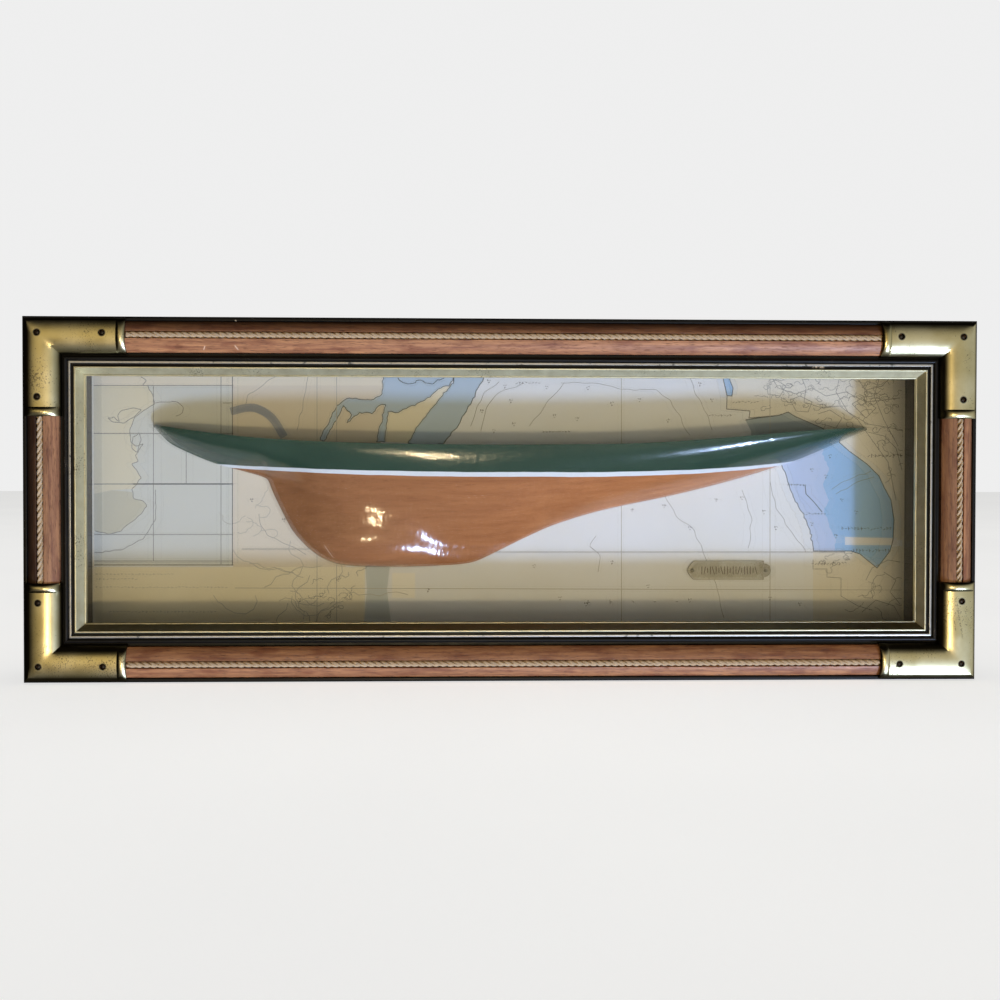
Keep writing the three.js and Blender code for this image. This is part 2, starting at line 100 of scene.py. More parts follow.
def noise(tree, place, scale, detail=3.0, roughness=0.5, distortion=0.0):
    """The grey value of a cloud pattern, from 0 to 1."""
    inputs = {"Vector": place, "Scale": scale, "Detail": detail, "Roughness": roughness,
              "Distortion": distortion}
    return add_node(tree, "ShaderNodeTexNoise", inputs).outputs["Fac"]


def ramp(tree, value, low, high, to_low=0.0, to_high=1.0):
    """The value stretched so that low to high becomes to_low to to_high, and held there outside."""
    inputs = {"Value": value, "From Min": low, "From Max": high, "To Min": to_low, "To Max": to_high}
    return add_node(tree, "ShaderNodeMapRange", inputs).outputs["Result"]


def blend(tree, share, first, second, kind="MIX"):
    """One colour laid over another: first where share is 0, second where it is 1."""
    node = add_node(tree, "ShaderNodeMix", {"Factor": share}, data_type="RGBA", blend_type=kind)
    for socket, value in ((node.inputs[6], first), (node.inputs[7], second)):
        if isinstance(value, bpy.types.NodeSocket):
            tree.links.new(value, socket)
        else:
            socket.default_value = value
    return node.outputs[2]


def reckon(tree, kind, first, second=0.0):
    """One sum on two values."""
    return add_node(tree, "ShaderNodeMath", {0: first, 1: second}, operation=kind).outputs[0]


def stretched(tree, place, scale):
    """The same place with each of its directions scaled."""
    return add_node(tree, "ShaderNodeMapping", {"Vector": place, "Scale": scale}).outputs["Vector"]


def new_finish(name, **constants):
    """A material with its own Principled shader, whose plain values are set on its sockets."""
    finish = bpy.data.materials.new(name)
    finish.use_nodes = True
    shader = finish.node_tree.nodes["Principled BSDF"]
    for socket, value in constants.items():
        shader.inputs[socket.replace("_", " ")].default_value = value
    return finish, finish.node_tree, shader


def object_place(tree):
    return add_node(tree, "ShaderNodeTexCoord").outputs["Object"]


def connect(tree, shader, **sockets):
    for name, value in sockets.items():
        tree.links.new(value, shader.inputs[name.replace("_", " ")])


def bump(tree, height, distance, strength=1.0):
    """The normal of a surface with small relief; distance is the relief's full height in metres."""
    inputs = {"Height": height, "Distance": distance, "Strength": strength}
    return add_node(tree, "ShaderNodeBump", inputs).outputs["Normal"]


floor_mesh = bpy.data.meshes.new("floor")
FLOOR_REACH = 6.0
floor_corners = [(-1, -1), (1, -1), (1, 1), (-1, 1)]
floor_mesh.from_pydata([(x * FLOOR_REACH, y * FLOOR_REACH, -0.0003) for x, y in floor_corners], [], [(0, 1, 2, 3)])
floor = bpy.data.objects.new("floor", floor_mesh)
bpy.context.collection.objects.link(floor)
floor.visible_shadow = False
floor.visible_glossy = False
floor.visible_diffuse = False
floor_finish, tree, shader = new_finish("pale_floor", Roughness=0.9, Emission_Strength=0.85)
mottle = noise(tree, object_place(tree), 3.0)
pale = blend(tree, mottle, shade(226, 226, 226), shade(234, 234, 233))
connect(tree, shader, Base_Color=pale, Emission_Color=pale)
floor_mesh.materials.append(floor_finish)

world = bpy.data.worlds.new("surround")
bpy.context.scene.world = world
world.use_nodes = True
tree = world.node_tree
heading = add_node(tree, "ShaderNodeTexCoord").outputs["Generated"]


def glow(tree, toward, edge, core):
    """How much one side of the room shines, from 0 to 1: in full within the core angle of a
    direction and not at all past the edge angle, both in degrees."""
    inputs = {0: heading, 1: Vector(toward).normalized()}
    closeness = add_node(tree, "ShaderNodeVectorMath", inputs, operation="DOT_PRODUCT").outputs["Value"]
    return ramp(tree, closeness, math.cos(math.radians(edge)), math.cos(math.radians(core)))


room = blend(tree, glow(tree, (0.5, -0.3, -1), 70, 25), (0.008, 0.007, 0.006, 1), (0.15, 0.135, 0.10, 1))
room = blend(tree, glow(tree, (0.0, 1.0, 0.3), 75, 30), room, (0.12, 0.12, 0.115, 1))
room = blend(tree, glow(tree, (0.42, -1.0, 0.05), 30, 12), room, (0.46, 0.43, 0.33, 1))
room = blend(tree, glow(tree, (-0.38, -1.0, 0.13), 20, 8), room, (0.74, 0.59, 0.29, 1))
room = blend(tree, glow(tree, (0.93, -0.36, -0.12), 46, 15), room, (0.43, 0.44, 0.41, 1))
seen = add_node(tree, "ShaderNodeLightPath").outputs["Is Camera Ray"]
surround = blend(tree, seen, room, (0.86, 0.86, 0.86, 1))
tree.links.new(surround, tree.nodes["Background"].inputs["Color"])


def add_lamp(name, toward, distance, width, height, watts, colour):
    """A rectangular lamp that faces the middle of the box from the given direction."""
    lamp = bpy.data.lights.new(name, "AREA")
    lamp.shape = "RECTANGLE"
    lamp.size = width
    lamp.size_y = height
    lamp.energy = watts
    lamp.color = colour
    holder = bpy.data.objects.new(name, lamp)
    bpy.context.collection.objects.link(holder)
    direction = Vector(toward).normalized()
    holder.location = Vector((0, -0.02, 0.107)) + direction * distance
    holder.rotation_euler = direction.to_track_quat("Z", "Y").to_euler()
    return holder


add_lamp("window", (0.45, -0.635, -0.61), 4.0, 0.26, 0.60, 163.0, (0.50, 0.66, 1.0))
warm_lamp = add_lamp("warm_lamp", (-0.075, -0.968, -0.24), 1.6, 0.11, 0.04, 6.0, (1.0, 0.79, 0.46))
warm_lamp.visible_diffuse = False
warm_strip = add_lamp("warm_strip", (0.22, -0.968, -0.25), 1.7, 1.1, 0.08, 8.7, (1.0, 0.79, 0.43))
warm_strip.visible_glossy = False
soft_fill = add_lamp("soft_fill", (0.05, -1.0, -0.09), 2.0, 1.2, 0.25, 2.6, (1.0, 0.90, 0.64))
soft_fill.visible_glossy = False
floor_light = add_lamp("floor_light", (0.0, 0.15, 0.98), 2.6, 3.0, 3.0, 16.0, (1.0, 0.99, 0.97))
lit_by_it = bpy.data.collections.new("lit_by_floor_light")
lit_by_it.objects.link(floor)
floor_light.light_linking.receiver_collection = lit_by_it
back_light = add_lamp("back_light", (0.1, 0.8, 0.6), 1.8, 1.2, 0.8, 40.0, (1.0, 0.99, 0.97))
back_light.visible_glossy = False
not_lit_by_it = bpy.data.collections.new("not_lit_by_back_light")
not_lit_by_it.objects.link(floor)
not_lit_by_it.collection_objects[0].light_linking.link_state = "EXCLUDE"
back_light.light_linking.receiver_collection = not_lit_by_it


# Black moulded rails: four mitred lengths of painted wood. Each has a rounded outer lip, a bead
# and one fine silvered line beside the glass, and a deep wall behind. They are glued in the
# corners, and the rabbet inside takes the slip, the glass, the chart and the back board.
MM = 0.001
WIDTH = 560
HEIGHT = 213
DEPTH = 60
FRONT = -28.8
MITRE_CLEARANCE = 0.06
SIDES = ("bottom", "left", "top", "right")


def on_side(side, along, across, back):
    """Places on one side of the frame, in metres. Along runs from the middle of the side, across
    runs inward from its outer edge and back from the crown of the corner caps to the wall; each
    side is the bottom one turned about the middle of the frame."""
    low = across - HEIGHT / 2
    left = across - WIDTH / 2
    x, z = {"bottom": (along, low), "top": (-along, -low), "left": (left, -along), "right": (-left, along)}[side]
    place = np.broadcast_arrays(x, FRONT + back, HEIGHT / 2 + z)
    return np.stack(place, axis=-1) * MM


def surface(name, grid, chart=None, wrap=False, fill=False, sharp=35):
    """A mesh over a grid of places with shape (rows, columns, 3). Each face joins a place to its
    neighbours in the next row and column; wrap joins the last column to the first, and fill
    closes the first and last row. Chart gives each place its two map values."""
    rows, columns = grid.shape[:2]
    spans = columns if wrap else columns - 1
    row = np.arange(rows - 1)[:, None]
    column = np.arange(spans)[None, :]
    after = (column + 1) % columns
    quads = np.stack([row * columns + column, row * columns + after,
                      (row + 1) * columns + after, (row + 1) * columns + column], axis=-1).reshape(-1, 4)
    faces = quads.tolist()
    if fill:
        faces.append(list(range(columns))[::-1])
        faces.append(list(range((rows - 1) * columns, rows * columns)))
    mesh = bpy.data.meshes.new(name)
    mesh.from_pydata(grid.reshape(-1, 3).tolist(), [], faces)
    if chart is not None:
        corner = np.empty(len(mesh.loops), dtype=np.int32)
        mesh.loops.foreach_get("vertex_index", corner)
        values = chart.reshape(-1, 2)[corner]
        mesh.uv_layers.new(name="lay").data.foreach_set("uv", values.astype(np.float32).ravel())
    return add_piece(name, mesh, sharp)


def add_piece(name, mesh, sharp=35):
    """A piece from a mesh: shaded smooth, with the edges sharper than the given angle kept."""
    mesh.update()
    face_out(mesh)
    mesh.shade_smooth()
    mesh.set_sharp_from_angle(angle=math.radians(sharp))
    piece = bpy.data.objects.new(name, mesh)
    bpy.context.collection.objects.link(piece)
    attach(piece, "root")
    return piece


def face_out(mesh):
    """Turns all faces round if the volume that they enclose comes out negative."""
    mesh.calc_loop_triangles()
    corners = np.empty(len(mesh.loop_triangles) * 3, dtype=np.int32)
    mesh.loop_triangles.foreach_get("vertices", corners)
    places = np.empty(len(mesh.vertices) * 3, dtype=np.float32)
    mesh.vertices.foreach_get("co", places)
    first, second, third = places.reshape(-1, 3)[corners.reshape(-1, 3)].transpose(1, 0, 2).astype(float)
    if np.sum(first * np.cross(second, third)) < 0:
        mesh.flip_normals()


def keep_facing(piece):
    """Stores on each corner of the faces which way the surface looks there, for finishes that
    follow it, and gives the piece back."""
    facing = np.empty(len(piece.data.loops) * 3, dtype=np.float32)
    piece.data.corner_normals.foreach_get("vector", facing)
    piece.data.attributes.new("facing", "FLOAT_VECTOR", "CORNER").data.foreach_set("vector", facing)
    return piece


def read_facing(tree):
    """The X, Y and Z of the stored direction."""
    stored = add_node(tree, "ShaderNodeAttribute", attribute_name="facing").outputs["Vector"]
    return add_node(tree, "ShaderNodeSeparateXYZ", {0: stored}).outputs


def arc(centre, radius, start, end, steps):
    """Points on an ellipse from one angle to another, in degrees."""
    turn = np.radians(np.linspace(start, end, steps + 1))
    return np.stack([centre[0] + radius[0] * np.cos(turn), centre[1] + radius[1] * np.sin(turn)], axis=1)


def mitred_strip(name, side, section, stations=2):
    """One side of the frame: a closed section carried along it, with both ends cut at 45 degrees,
    so that a point further in reaches less far."""
    across = section[:, 0]
    back = section[:, 1]
    length = WIDTH if side in ("bottom", "top") else HEIGHT
    reach = length / 2 - across - MITRE_CLEARANCE
    along = np.linspace(-1, 1, stations)[:, None] * reach[None, :]
    lay = np.stack(np.broadcast_arrays(along, across[None, :]), axis=-1) * MM
    return surface(name, on_side(side, along, across[None, :], back[None, :]), lay, wrap=True, fill=True)


rail_section = np.concatenate([
    [(0, 58.8)],
    arc((1.1, 5.3), (1.1, 1.1), 180, 270, 8),
    arc((2.0, 4.6), (0.4, 0.4), 270, 360, 4),
    [(2.4, 10), (21.0, 10), (21.0, 7.2), (21.2, 6.8), (22.5, 6.8)],
    arc((24.05, 6.8), (1.45, 1.8), 180, 360, 14),
    [(25.75, 6.1), (25.9, 6.0), (26.8, 6.0), (26.95, 6.1), (27.1, 7.2), (28.1, 7.2), (28.3, 7.4)],
    [(28.3, 10.2), (24.5, 10.2), (24.5, 58.8)],
])

# Scuffs shared by the painted, gilt and brass parts: small worn spots that gather in patches.
scuffs = bpy.data.node_groups.new("scuffs", "ShaderNodeTree")
for socket_name, kind in (("Place", "NodeSocketVector"), ("Size", "NodeSocketFloat"), ("Share", "NodeSocketFloat")):
    scuffs.interface.new_socket(socket_name, in_out="INPUT", socket_type=kind)
scuffs.interface.new_socket("Mask", in_out="OUTPUT", socket_type="NodeSocketFloat")
tree = scuffs
given = tree.nodes.new("NodeGroupInput").outputs
speckle = add_node(tree, "ShaderNodeTexNoise", {"Vector": given["Place"], "Scale": given["Size"], "Detail": 4.0,
                                                "Roughness": 0.62}).outputs["Fac"]
patch = add_node(tree, "ShaderNodeTexNoise", {"Vector": given["Place"], "Scale": 38.0, "Detail": 2.0}).outputs["Fac"]
level = reckon(tree, "SUBTRACT", 1.02, reckon(tree, "MULTIPLY", given["Share"], patch))
over = reckon(tree, "MULTIPLY", reckon(tree, "SUBTRACT", speckle, level), 12.0)
result = add_node(tree, "ShaderNodeClamp", {"Value": over}).outputs[0]
tree.links.new(result, tree.nodes.new("NodeGroupOutput").inputs["Mask"])


def scuff_mask(tree, place, size, share):
    """Where the scuffs are, from 0 to 1: more of them for a larger share."""
    group = add_node(tree, "ShaderNodeGroup", node_tree=scuffs)
    tree.links.new(place, group.inputs["Place"])
    group.inputs["Size"].default_value = size
    group.inputs["Share"].default_value = share
    return group.outputs["Mask"]


def scratch(tree, place, start, end, width):
    """1 on a straight scratch between two places given by x and height in mm, and 0 outside it and
    at the back: the place is turned and scaled so that the scratch reaches from -1 to 1."""
    run = (end[0] - start[0], end[1] - start[1])
    inputs = {
        "Vector": place,
        "Location": ((start[0] + end[0]) / 2 * MM, (FRONT + 5) * MM, (start[1] + end[1]) / 2 * MM),
        "Rotation": (0, -math.atan2(run[1], run[0]), 0),
        "Scale": (math.hypot(*run) / 2 * MM, 45 * MM, width / 2 * MM),
    }
    turned = add_node(tree, "ShaderNodeMapping", inputs, vector_type="TEXTURE").outputs[0]
    axes = add_node(tree, "ShaderNodeSeparateXYZ", {0: turned}).outputs
    off = reckon(tree, "MAXIMUM", reckon(tree, "ABSOLUTE", axes["X"]), reckon(tree, "ABSOLUTE", axes["Z"]))
    off = reckon(tree, "MAXIMUM", reckon(tree, "ABSOLUTE", axes["Y"]), off)
    return ramp(tree, off, 0.6, 1.0, 1.0, 0.0)


rail_finish, tree, shader = new_finish("black_rail_paint", Specular_IOR_Level=0.22)
place = object_place(tree)
across = add_node(tree, "ShaderNodeSeparateXYZ", {0: add_node(tree, "ShaderNodeUVMap", uv_map="lay").outputs[0]})
across = across.outputs["Y"]
line_start = ramp(tree, across, 25.70 * MM, 25.78 * MM)
line_end = ramp(tree, across, 26.92 * MM, 27.0 * MM, 1.0, 0.0)
silver_line = reckon(tree, "MULTIPLY", line_start, line_end)
rubbed = ramp(tree, noise(tree, place, 260.0, 4.0, 0.6), 0.60, 0.68, 1.0, 0.25)
silver_line = reckon(tree, "MULTIPLY", silver_line, rubbed)
worn = scuff_mask(tree, place, 1700.0, 0.64)
brushed = noise(tree, place, 90.0, 5.0)
black = blend(tree, brushed, shade(13, 11, 9), shade(21, 18, 15))
black = blend(tree, worn, black, shade(96, 82, 66))
chipped = 0.0
for start, end, width in (
    ((181.9, 185.7), (189.7, 185.4), 1.5), ((-157.2, 208.8), (-157.0, 211.4), 0.9), ((-1.8, 209.1), (0.9, 208.9), 0.8),
):
    chipped = reckon(tree, "MAXIMUM", scratch(tree, place, start, end, width), chipped)
broken = reckon(tree, "GREATER_THAN", noise(tree, place, 900.0, 3.0), 0.47)
black = blend(tree, reckon(tree, "MULTIPLY", chipped, broken), black, shade(186, 166, 138))
axes = add_node(tree, "ShaderNodeSeparateXYZ", {0: place}).outputs
from_side = reckon(tree, "SUBTRACT", WIDTH / 2 * MM, reckon(tree, "ABSOLUTE", axes["X"]))
off_middle = reckon(tree, "ABSOLUTE", reckon(tree, "SUBTRACT", axes["Z"], HEIGHT / 2 * MM))
from_rim = reckon(tree, "MINIMUM", from_side, reckon(tree, "SUBTRACT", HEIGHT / 2 * MM, off_middle))
inner_wall = reckon(tree, "MULTIPLY", ramp(tree, from_rim, 0.020, 0.022),
                    ramp(tree, axes["Y"], (FRONT + 13) * MM, (FRONT + 14) * MM))
inner_wall = reckon(tree, "MULTIPLY", ramp(tree, axes["Y"], (FRONT + 51) * MM, (FRONT + 52) * MM, 1.0, 0.0), inner_wall)
black = blend(tree, inner_wall, black, shade(84, 79, 72))
silver = blend(tree, noise(tree, place, 420.0), shade(176, 170, 158), shade(214, 208, 196))
connect(tree, shader, Base_Color=blend(tree, silver_line, black, silver),
        Metallic=ramp(tree, silver_line, 0.0, 1.0, 0.0, 0.75),
        Roughness=ramp(tree, brushed, 0.3, 0.7, 0.38, 0.52),
        Normal=bump(tree, noise(tree, place, 700.0, 3.0), 0.00004, 0.5))

for side in SIDES:
    rail = mitred_strip(f"black_rail_{side}", side, rail_section)
    rail.data.materials.append(rail_finish)
    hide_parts(f"frame_rail_{side}")


# Wood bands: half-round strips of red-brown hardwood under satin varnish, mitred at the corners
# and glued in the channel of the black rails. A groove along the crown holds the rope.
BAND_START = 2.7
BAND_WIDTH = 18.0
BAND_CROWN = 1.2
BAND_EDGE = 5.2
BAND_BASE = 9.7
ROPE_ACROSS = 10.7
ROPE_BACK = 2.8
ROPE_RADIUS = 1.8


def band_face(across):
    """Depth of the band's face: an arc of a circle through its crown and both edges."""
    half = BAND_WIDTH / 2
    rise = BAND_EDGE - BAND_CROWN
    radius = (half ** 2 + rise ** 2) / (2 * rise)
    return BAND_CROWN + radius - np.sqrt(radius ** 2 - (across - BAND_START - half) ** 2)


groove = ROPE_RADIUS + 0.3
outer_face = np.linspace(BAND_START, ROPE_ACROSS - groove - 0.2, 14)
inner_face = np.linspace(ROPE_ACROSS + groove + 0.2, BAND_START + BAND_WIDTH, 16)
band_section = np.concatenate([
    [(BAND_START, BAND_BASE)],
    np.stack([outer_face, band_face(outer_face)], axis=1),
    [(ROPE_ACROSS - groove, 1.9), (ROPE_ACROSS - groove, 3.4)],
    arc((ROPE_ACROSS, 3.0), (groove, 1.9), 170, 10, 10)[:, :],
    [(ROPE_ACROSS + groove, 3.4), (ROPE_ACROSS + groove, 1.8)],
    np.stack([inner_face, band_face(inner_face)], axis=1),
    [(BAND_START + BAND_WIDTH, BAND_BASE)],
])

# Grain shared by all bare and stained wood: long streaks and fine short pores along the first
# direction of the place it is given.
grain = bpy.data.node_groups.new("grain", "ShaderNodeTree")
for socket_name, kind in (("Place", "NodeSocketVector"), ("Streaks", "NodeSocketFloat"), ("Pores", "NodeSocketFloat")):
    grain.interface.new_socket(socket_name, in_out="INPUT", socket_type=kind)
for socket_name in ("Figure", "Pore"):
    grain.interface.new_socket(socket_name, in_out="OUTPUT", socket_type="NodeSocketFloat")
tree = grain
given = tree.nodes.new("NodeGroupInput").outputs
drift = add_node(tree, "ShaderNodeTexNoise", {"Vector": given["Place"], "Scale": 9.0, "Detail": 2.0}).outputs["Fac"]
wander = add_node(tree, "ShaderNodeCombineXYZ", {"Y": reckon(tree, "MULTIPLY", drift, 0.006)}).outputs[0]
bent = add_node(tree, "ShaderNodeVectorMath", {0: given["Place"], 1: wander}, operation="ADD").outputs[0]
long_place = add_node(tree, "ShaderNodeMapping", {"Vector": bent, "Scale": (0.045, 1.0, 1.0)}).outputs[0]
streaks = add_node(tree, "ShaderNodeTexNoise", {"Vector": long_place, "Scale": given["Streaks"], "Detail": 5.0,
                                                "Roughness": 0.6}).outputs["Fac"]
pore_place = add_node(tree, "ShaderNodeMapping", {"Vector": bent, "Scale": (0.07, 1.0, 1.0)}).outputs[0]
pores = add_node(tree, "ShaderNodeTexNoise", {"Vector": pore_place, "Scale": given["Pores"], "Detail": 2.0,
                                              "Roughness": 0.7}).outputs["Fac"]
group_out = tree.nodes.new("NodeGroupOutput")
tree.links.new(ramp(tree, streaks, 0.28, 0.72), group_out.inputs["Figure"])
tree.links.new(ramp(tree, pores, 0.56, 0.70), group_out.inputs["Pore"])


def wood_grain(tree, place, streaks, pores):
    """The two grain patterns, figure and pores, each from 0 to 1."""
    group = add_node(tree, "ShaderNodeGroup", node_tree=grain)
    tree.links.new(place, group.inputs["Place"])
    group.inputs["Streaks"].default_value = streaks
    group.inputs["Pores"].default_value = pores
    return group.outputs["Figure"], group.outputs["Pore"]




def band_wood_with_painted_shade(side, at_edge, at_rope, within):
    """The band's finish, with painted shade in it: the wood keeps the given shares of its brightness at the outer edge,
    beside the rope and between the rope and the opening."""
    finish, tree, shader = new_finish(f"painted_shade_band_{side}", Coat_Weight=0.12, Coat_Roughness=0.35)
    lay = add_node(tree, "ShaderNodeUVMap", uv_map="lay").outputs[0]
    across = add_node(tree, "ShaderNodeSeparateXYZ", {0: lay}).outputs["Y"]
    figure, pore = wood_grain(tree, lay, 620.0, 2300.0)
    place = object_place(tree)
    board = noise(tree, place, 22.0, 3.0)
    light_wood = blend(tree, board, shade(196, 134, 90), shade(222, 160, 112))
    dark_wood = blend(tree, board, shade(110, 60, 40), shade(150, 96, 66))
    wood = blend(tree, figure, dark_wood, light_wood)
    heart = noise(tree, stretched(tree, lay, (0.25, 1.0, 1.0)), 240.0, 3.0)
    wood = blend(tree, ramp(tree, heart, 0.50, 0.66, 0.0, 0.55), wood, shade(124, 64, 42))
    wood = blend(tree, reckon(tree, "MULTIPLY", pore, 0.75), wood, shade(70, 36, 24))
    outside = ramp(tree, across, BAND_START * MM, (ROPE_ACROSS - ROPE_RADIUS) * MM, at_edge, at_rope)
    inside = ramp(tree, across, (ROPE_ACROSS - 0.1) * MM, (ROPE_ACROSS + 0.1) * MM)
    kept = blend(tree, inside, outside, (within, within, within, 1))
    wood = blend(tree, 1.0, wood, kept, "MULTIPLY")
    rubbed = reckon(tree, "MAXIMUM", scratch(tree, place, (-157.4, 196.4), (-155.3, 193.6), 0.9),
                    scratch(tree, place, (-175.6, 193.5), (-174.3, 196.0), 0.8))
    wood = blend(tree, rubbed, wood, shade(226, 186, 156))
    connect(tree, shader, Base_Color=wood, Roughness=ramp(tree, figure, 0.0, 1.0, 0.58, 0.46),
            Normal=bump(tree, reckon(tree, "MULTIPLY", pore, -1.0), 0.00012, 0.8))
    return finish


# Painted shade for each side: the outer half of the left and top bands and the inner half of the right and bottom ones
# are darkened, where the faces turn from the light.
BAND_PAINTED_SHADE = {"bottom": (0.92, 1.0, 0.76), "left": (0.05, 0.16, 0.70), "top": (0.10, 0.62, 1.0), "right": (0.55, 0.9, 0.62)}
for side in SIDES:
    band = mitred_strip(f"painted_shade_band_{side}", side, band_section)
    band.data.materials.append(band_wood_with_painted_shade(side, *BAND_PAINTED_SHADE[side]))
    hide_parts(f"wood_band_{side}")


# Rope inlays: a three-strand twisted cord of natural fibre in each band's groove, butted against
# the ends of the corner caps and glued.
ARM_SIDEWAYS = {"left": 60.0, "right": 58.0}
ARM_UPWARD = 58.0
LAY_LENGTH = 12.6
STRANDS = 3


def twisted_rope(name, side, start, end):
    """A cord of three round strands that touch, as one skin: at each angle the radius is that of
    the nearest strand's circle, and the whole outline turns once in each lay length."""
    steps = int((end - start) / 0.42)
    around = 30
    along = np.linspace(start, end, steps)[:, None]
    angle = np.linspace(0, 2 * math.pi, around, endpoint=False)[None, :]
    strand = ROPE_RADIUS / (1 + 2 / math.sqrt(3))
    offset = ROPE_RADIUS - strand
    turned = angle - along * 2 * math.pi / LAY_LENGTH
    from_strand = (turned + math.pi / STRANDS) % (2 * math.pi / STRANDS) - math.pi / STRANDS
    from_strand = from_strand * 0.985
    radius = offset * np.cos(from_strand) + np.sqrt(strand ** 2 - (offset * np.sin(from_strand)) ** 2)
    slack = 1 + 0.03 * np.sin(along * 0.83) * np.cos(along * 0.31 + 1)
    across = ROPE_ACROSS + radius * np.cos(angle) * 0.98 * slack
    back = ROPE_BACK - radius * np.sin(angle) * 0.98
    lay = np.stack(np.broadcast_arrays(along, turned), axis=-1)
    return surface(name, on_side(side, along, across, back), lay, wrap=True, fill=True, sharp=70)


rope_finish, tree, shader = new_finish("natural_cord", Roughness=0.85, Sheen_Weight=0.25)
place = object_place(tree)
hair = noise(tree, place, 5200.0, 2.0, 0.7)
tone = noise(tree, place, 420.0, 3.0)
cord = blend(tree, tone, shade(188, 158, 122), shade(230, 206, 172))
cord = blend(tree, ramp(tree, hair, 0.35, 0.65, 0.0, 0.55), cord, shade(140, 108, 76))
connect(tree, shader, Base_Color=cord, Normal=bump(tree, hair, 0.00012, 0.9))

cap_arm = {
    "bottom": (-WIDTH / 2 + ARM_SIDEWAYS["left"], WIDTH / 2 - ARM_SIDEWAYS["right"]),
    "top": (-WIDTH / 2 + ARM_SIDEWAYS["right"], WIDTH / 2 - ARM_SIDEWAYS["left"]),
    "left": (-HEIGHT / 2 + ARM_UPWARD, HEIGHT / 2 - ARM_UPWARD),
    "right": (-HEIGHT / 2 + ARM_UPWARD, HEIGHT / 2 - ARM_UPWARD),
}
for side in SIDES:
    start, end = cap_arm[side]
    rope = twisted_rope(f"twisted_rope_{side}", side, start + 0.3, end - 0.3)
    rope.data.materials.append(rope_finish)
    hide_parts(f"rope_inlay_{side}")


# Corner caps: pressed sheet brass over each corner of the frame, two half-round arms that meet in
# a mitre, each ending in a raised bead. Three nails hold each cap through punched holes.
CAP_OUTER = 0.9
CAP_INNER = 22.2
CAP_OUTER_BACK = 3.9
CAP_INNER_BACK = 6.4
CAP_WALL = 0.85
CAP_BEAD = 5.2
CAP_RISE = 1.2
NAIL_SPOTS = ((10, 10), (47, 10), (10, 47))
CORNERS = {"bottom_left": (-1, -1), "bottom_right": (1, -1), "top_left": (-1, 1), "top_right": (1, 1)}


def cap_ring(rise):
    """One ring of the shell: a half ellipse outside, raised on a bead, and a parallel one inside."""
    middle = (CAP_OUTER + CAP_INNER) / 2
    half = (CAP_INNER - CAP_OUTER) / 2
    turn = np.linspace(0, math.pi, 41)
    edge = np.where(turn < math.pi / 2, CAP_OUTER_BACK, CAP_INNER_BACK)
    outside = np.stack([middle - half * np.cos(turn), edge - (edge + rise) * np.sin(turn)], axis=1)
    inside = np.stack([middle - (half - CAP_WALL) * np.cos(turn), edge - (edge - CAP_WALL) * np.sin(turn)], axis=1)
    return np.concatenate([outside, inside[::-1]])


def cap_shell(name, corner):
    """Rings carried along one arm to the mitre and out along the other."""
    sign_x, sign_z = CORNERS[corner]
    arm_x = ARM_SIDEWAYS["left" if sign_x < 0 else "right"]
    bead = np.linspace(0, 1, 15)
    plain = np.linspace(1, 0, 12)[1:-1]
    rows = []
    for arm, is_sideways in ((arm_x, True), (ARM_UPWARD, False)):
        rings = []
        for share in bead:
            rise = 0.0 if share in (0.0, 1.0) else CAP_RISE * math.sin(share * math.pi) ** 0.7
            ring = cap_ring(rise)
            rings.append((np.full(len(ring), arm - CAP_BEAD * share), ring[:, 0], ring[:, 1]))
        ring = cap_ring(0.0)
        for share in plain:
            reach = ring[:, 0] + (arm - CAP_BEAD - ring[:, 0]) * share
            rings.append((reach, ring[:, 0], ring[:, 1]))
        if is_sideways:
            rings.append((ring[:, 0], ring[:, 0], ring[:, 1]))
            rows += [np.stack([along, across, back], axis=1) for along, across, back in rings]
        else:
            rows += [np.stack([across, along, back], axis=1) for along, across, back in rings[::-1]]
    grid = np.stack(rows)
    x = sign_x * (WIDTH / 2 - grid[..., 0])
    z = HEIGHT / 2 + sign_z * (HEIGHT / 2 - grid[..., 1])
    return surface(name, np.stack([x, FRONT + grid[..., 2], z], axis=-1) * MM, wrap=True, fill=True, sharp=28)


def turned_shape(name, centre, profile, around=20):
    """A profile of radius and depth turned about a line along y through the centre."""
    angle = np.linspace(0, 2 * math.pi, around, endpoint=False)[None, :]
    radius = np.array([r for r, _ in profile])[:, None]
    depth = np.array([d for _, d in profile])[:, None]
    x = centre[0] + radius * np.cos(angle)
    z = centre[1] + radius * np.sin(angle)
    place = np.broadcast_arrays(x, depth, z)
    return surface(name, np.stack(place, axis=-1) * MM, wrap=True, fill=True, sharp=40)


def cut_out(piece, cutters):
    """The piece with the cutters' space taken away; the cutters are used up."""
    for cutter in cutters:
        change = piece.modifiers.new("cut", "BOOLEAN")
        change.operation = "DIFFERENCE"
        change.solver = "EXACT"
        change.object = cutter
    cut = bpy.data.meshes.new_from_object(piece.evaluated_get(bpy.context.evaluated_depsgraph_get()))
    cut.set_sharp_from_angle(angle=math.radians(28))
    piece.modifiers.clear()
    old = piece.data
    piece.data = cut
    cut.name = old.name
    bpy.data.meshes.remove(old)
    for cutter in cutters:
        bpy.data.meshes.remove(cutter.data)


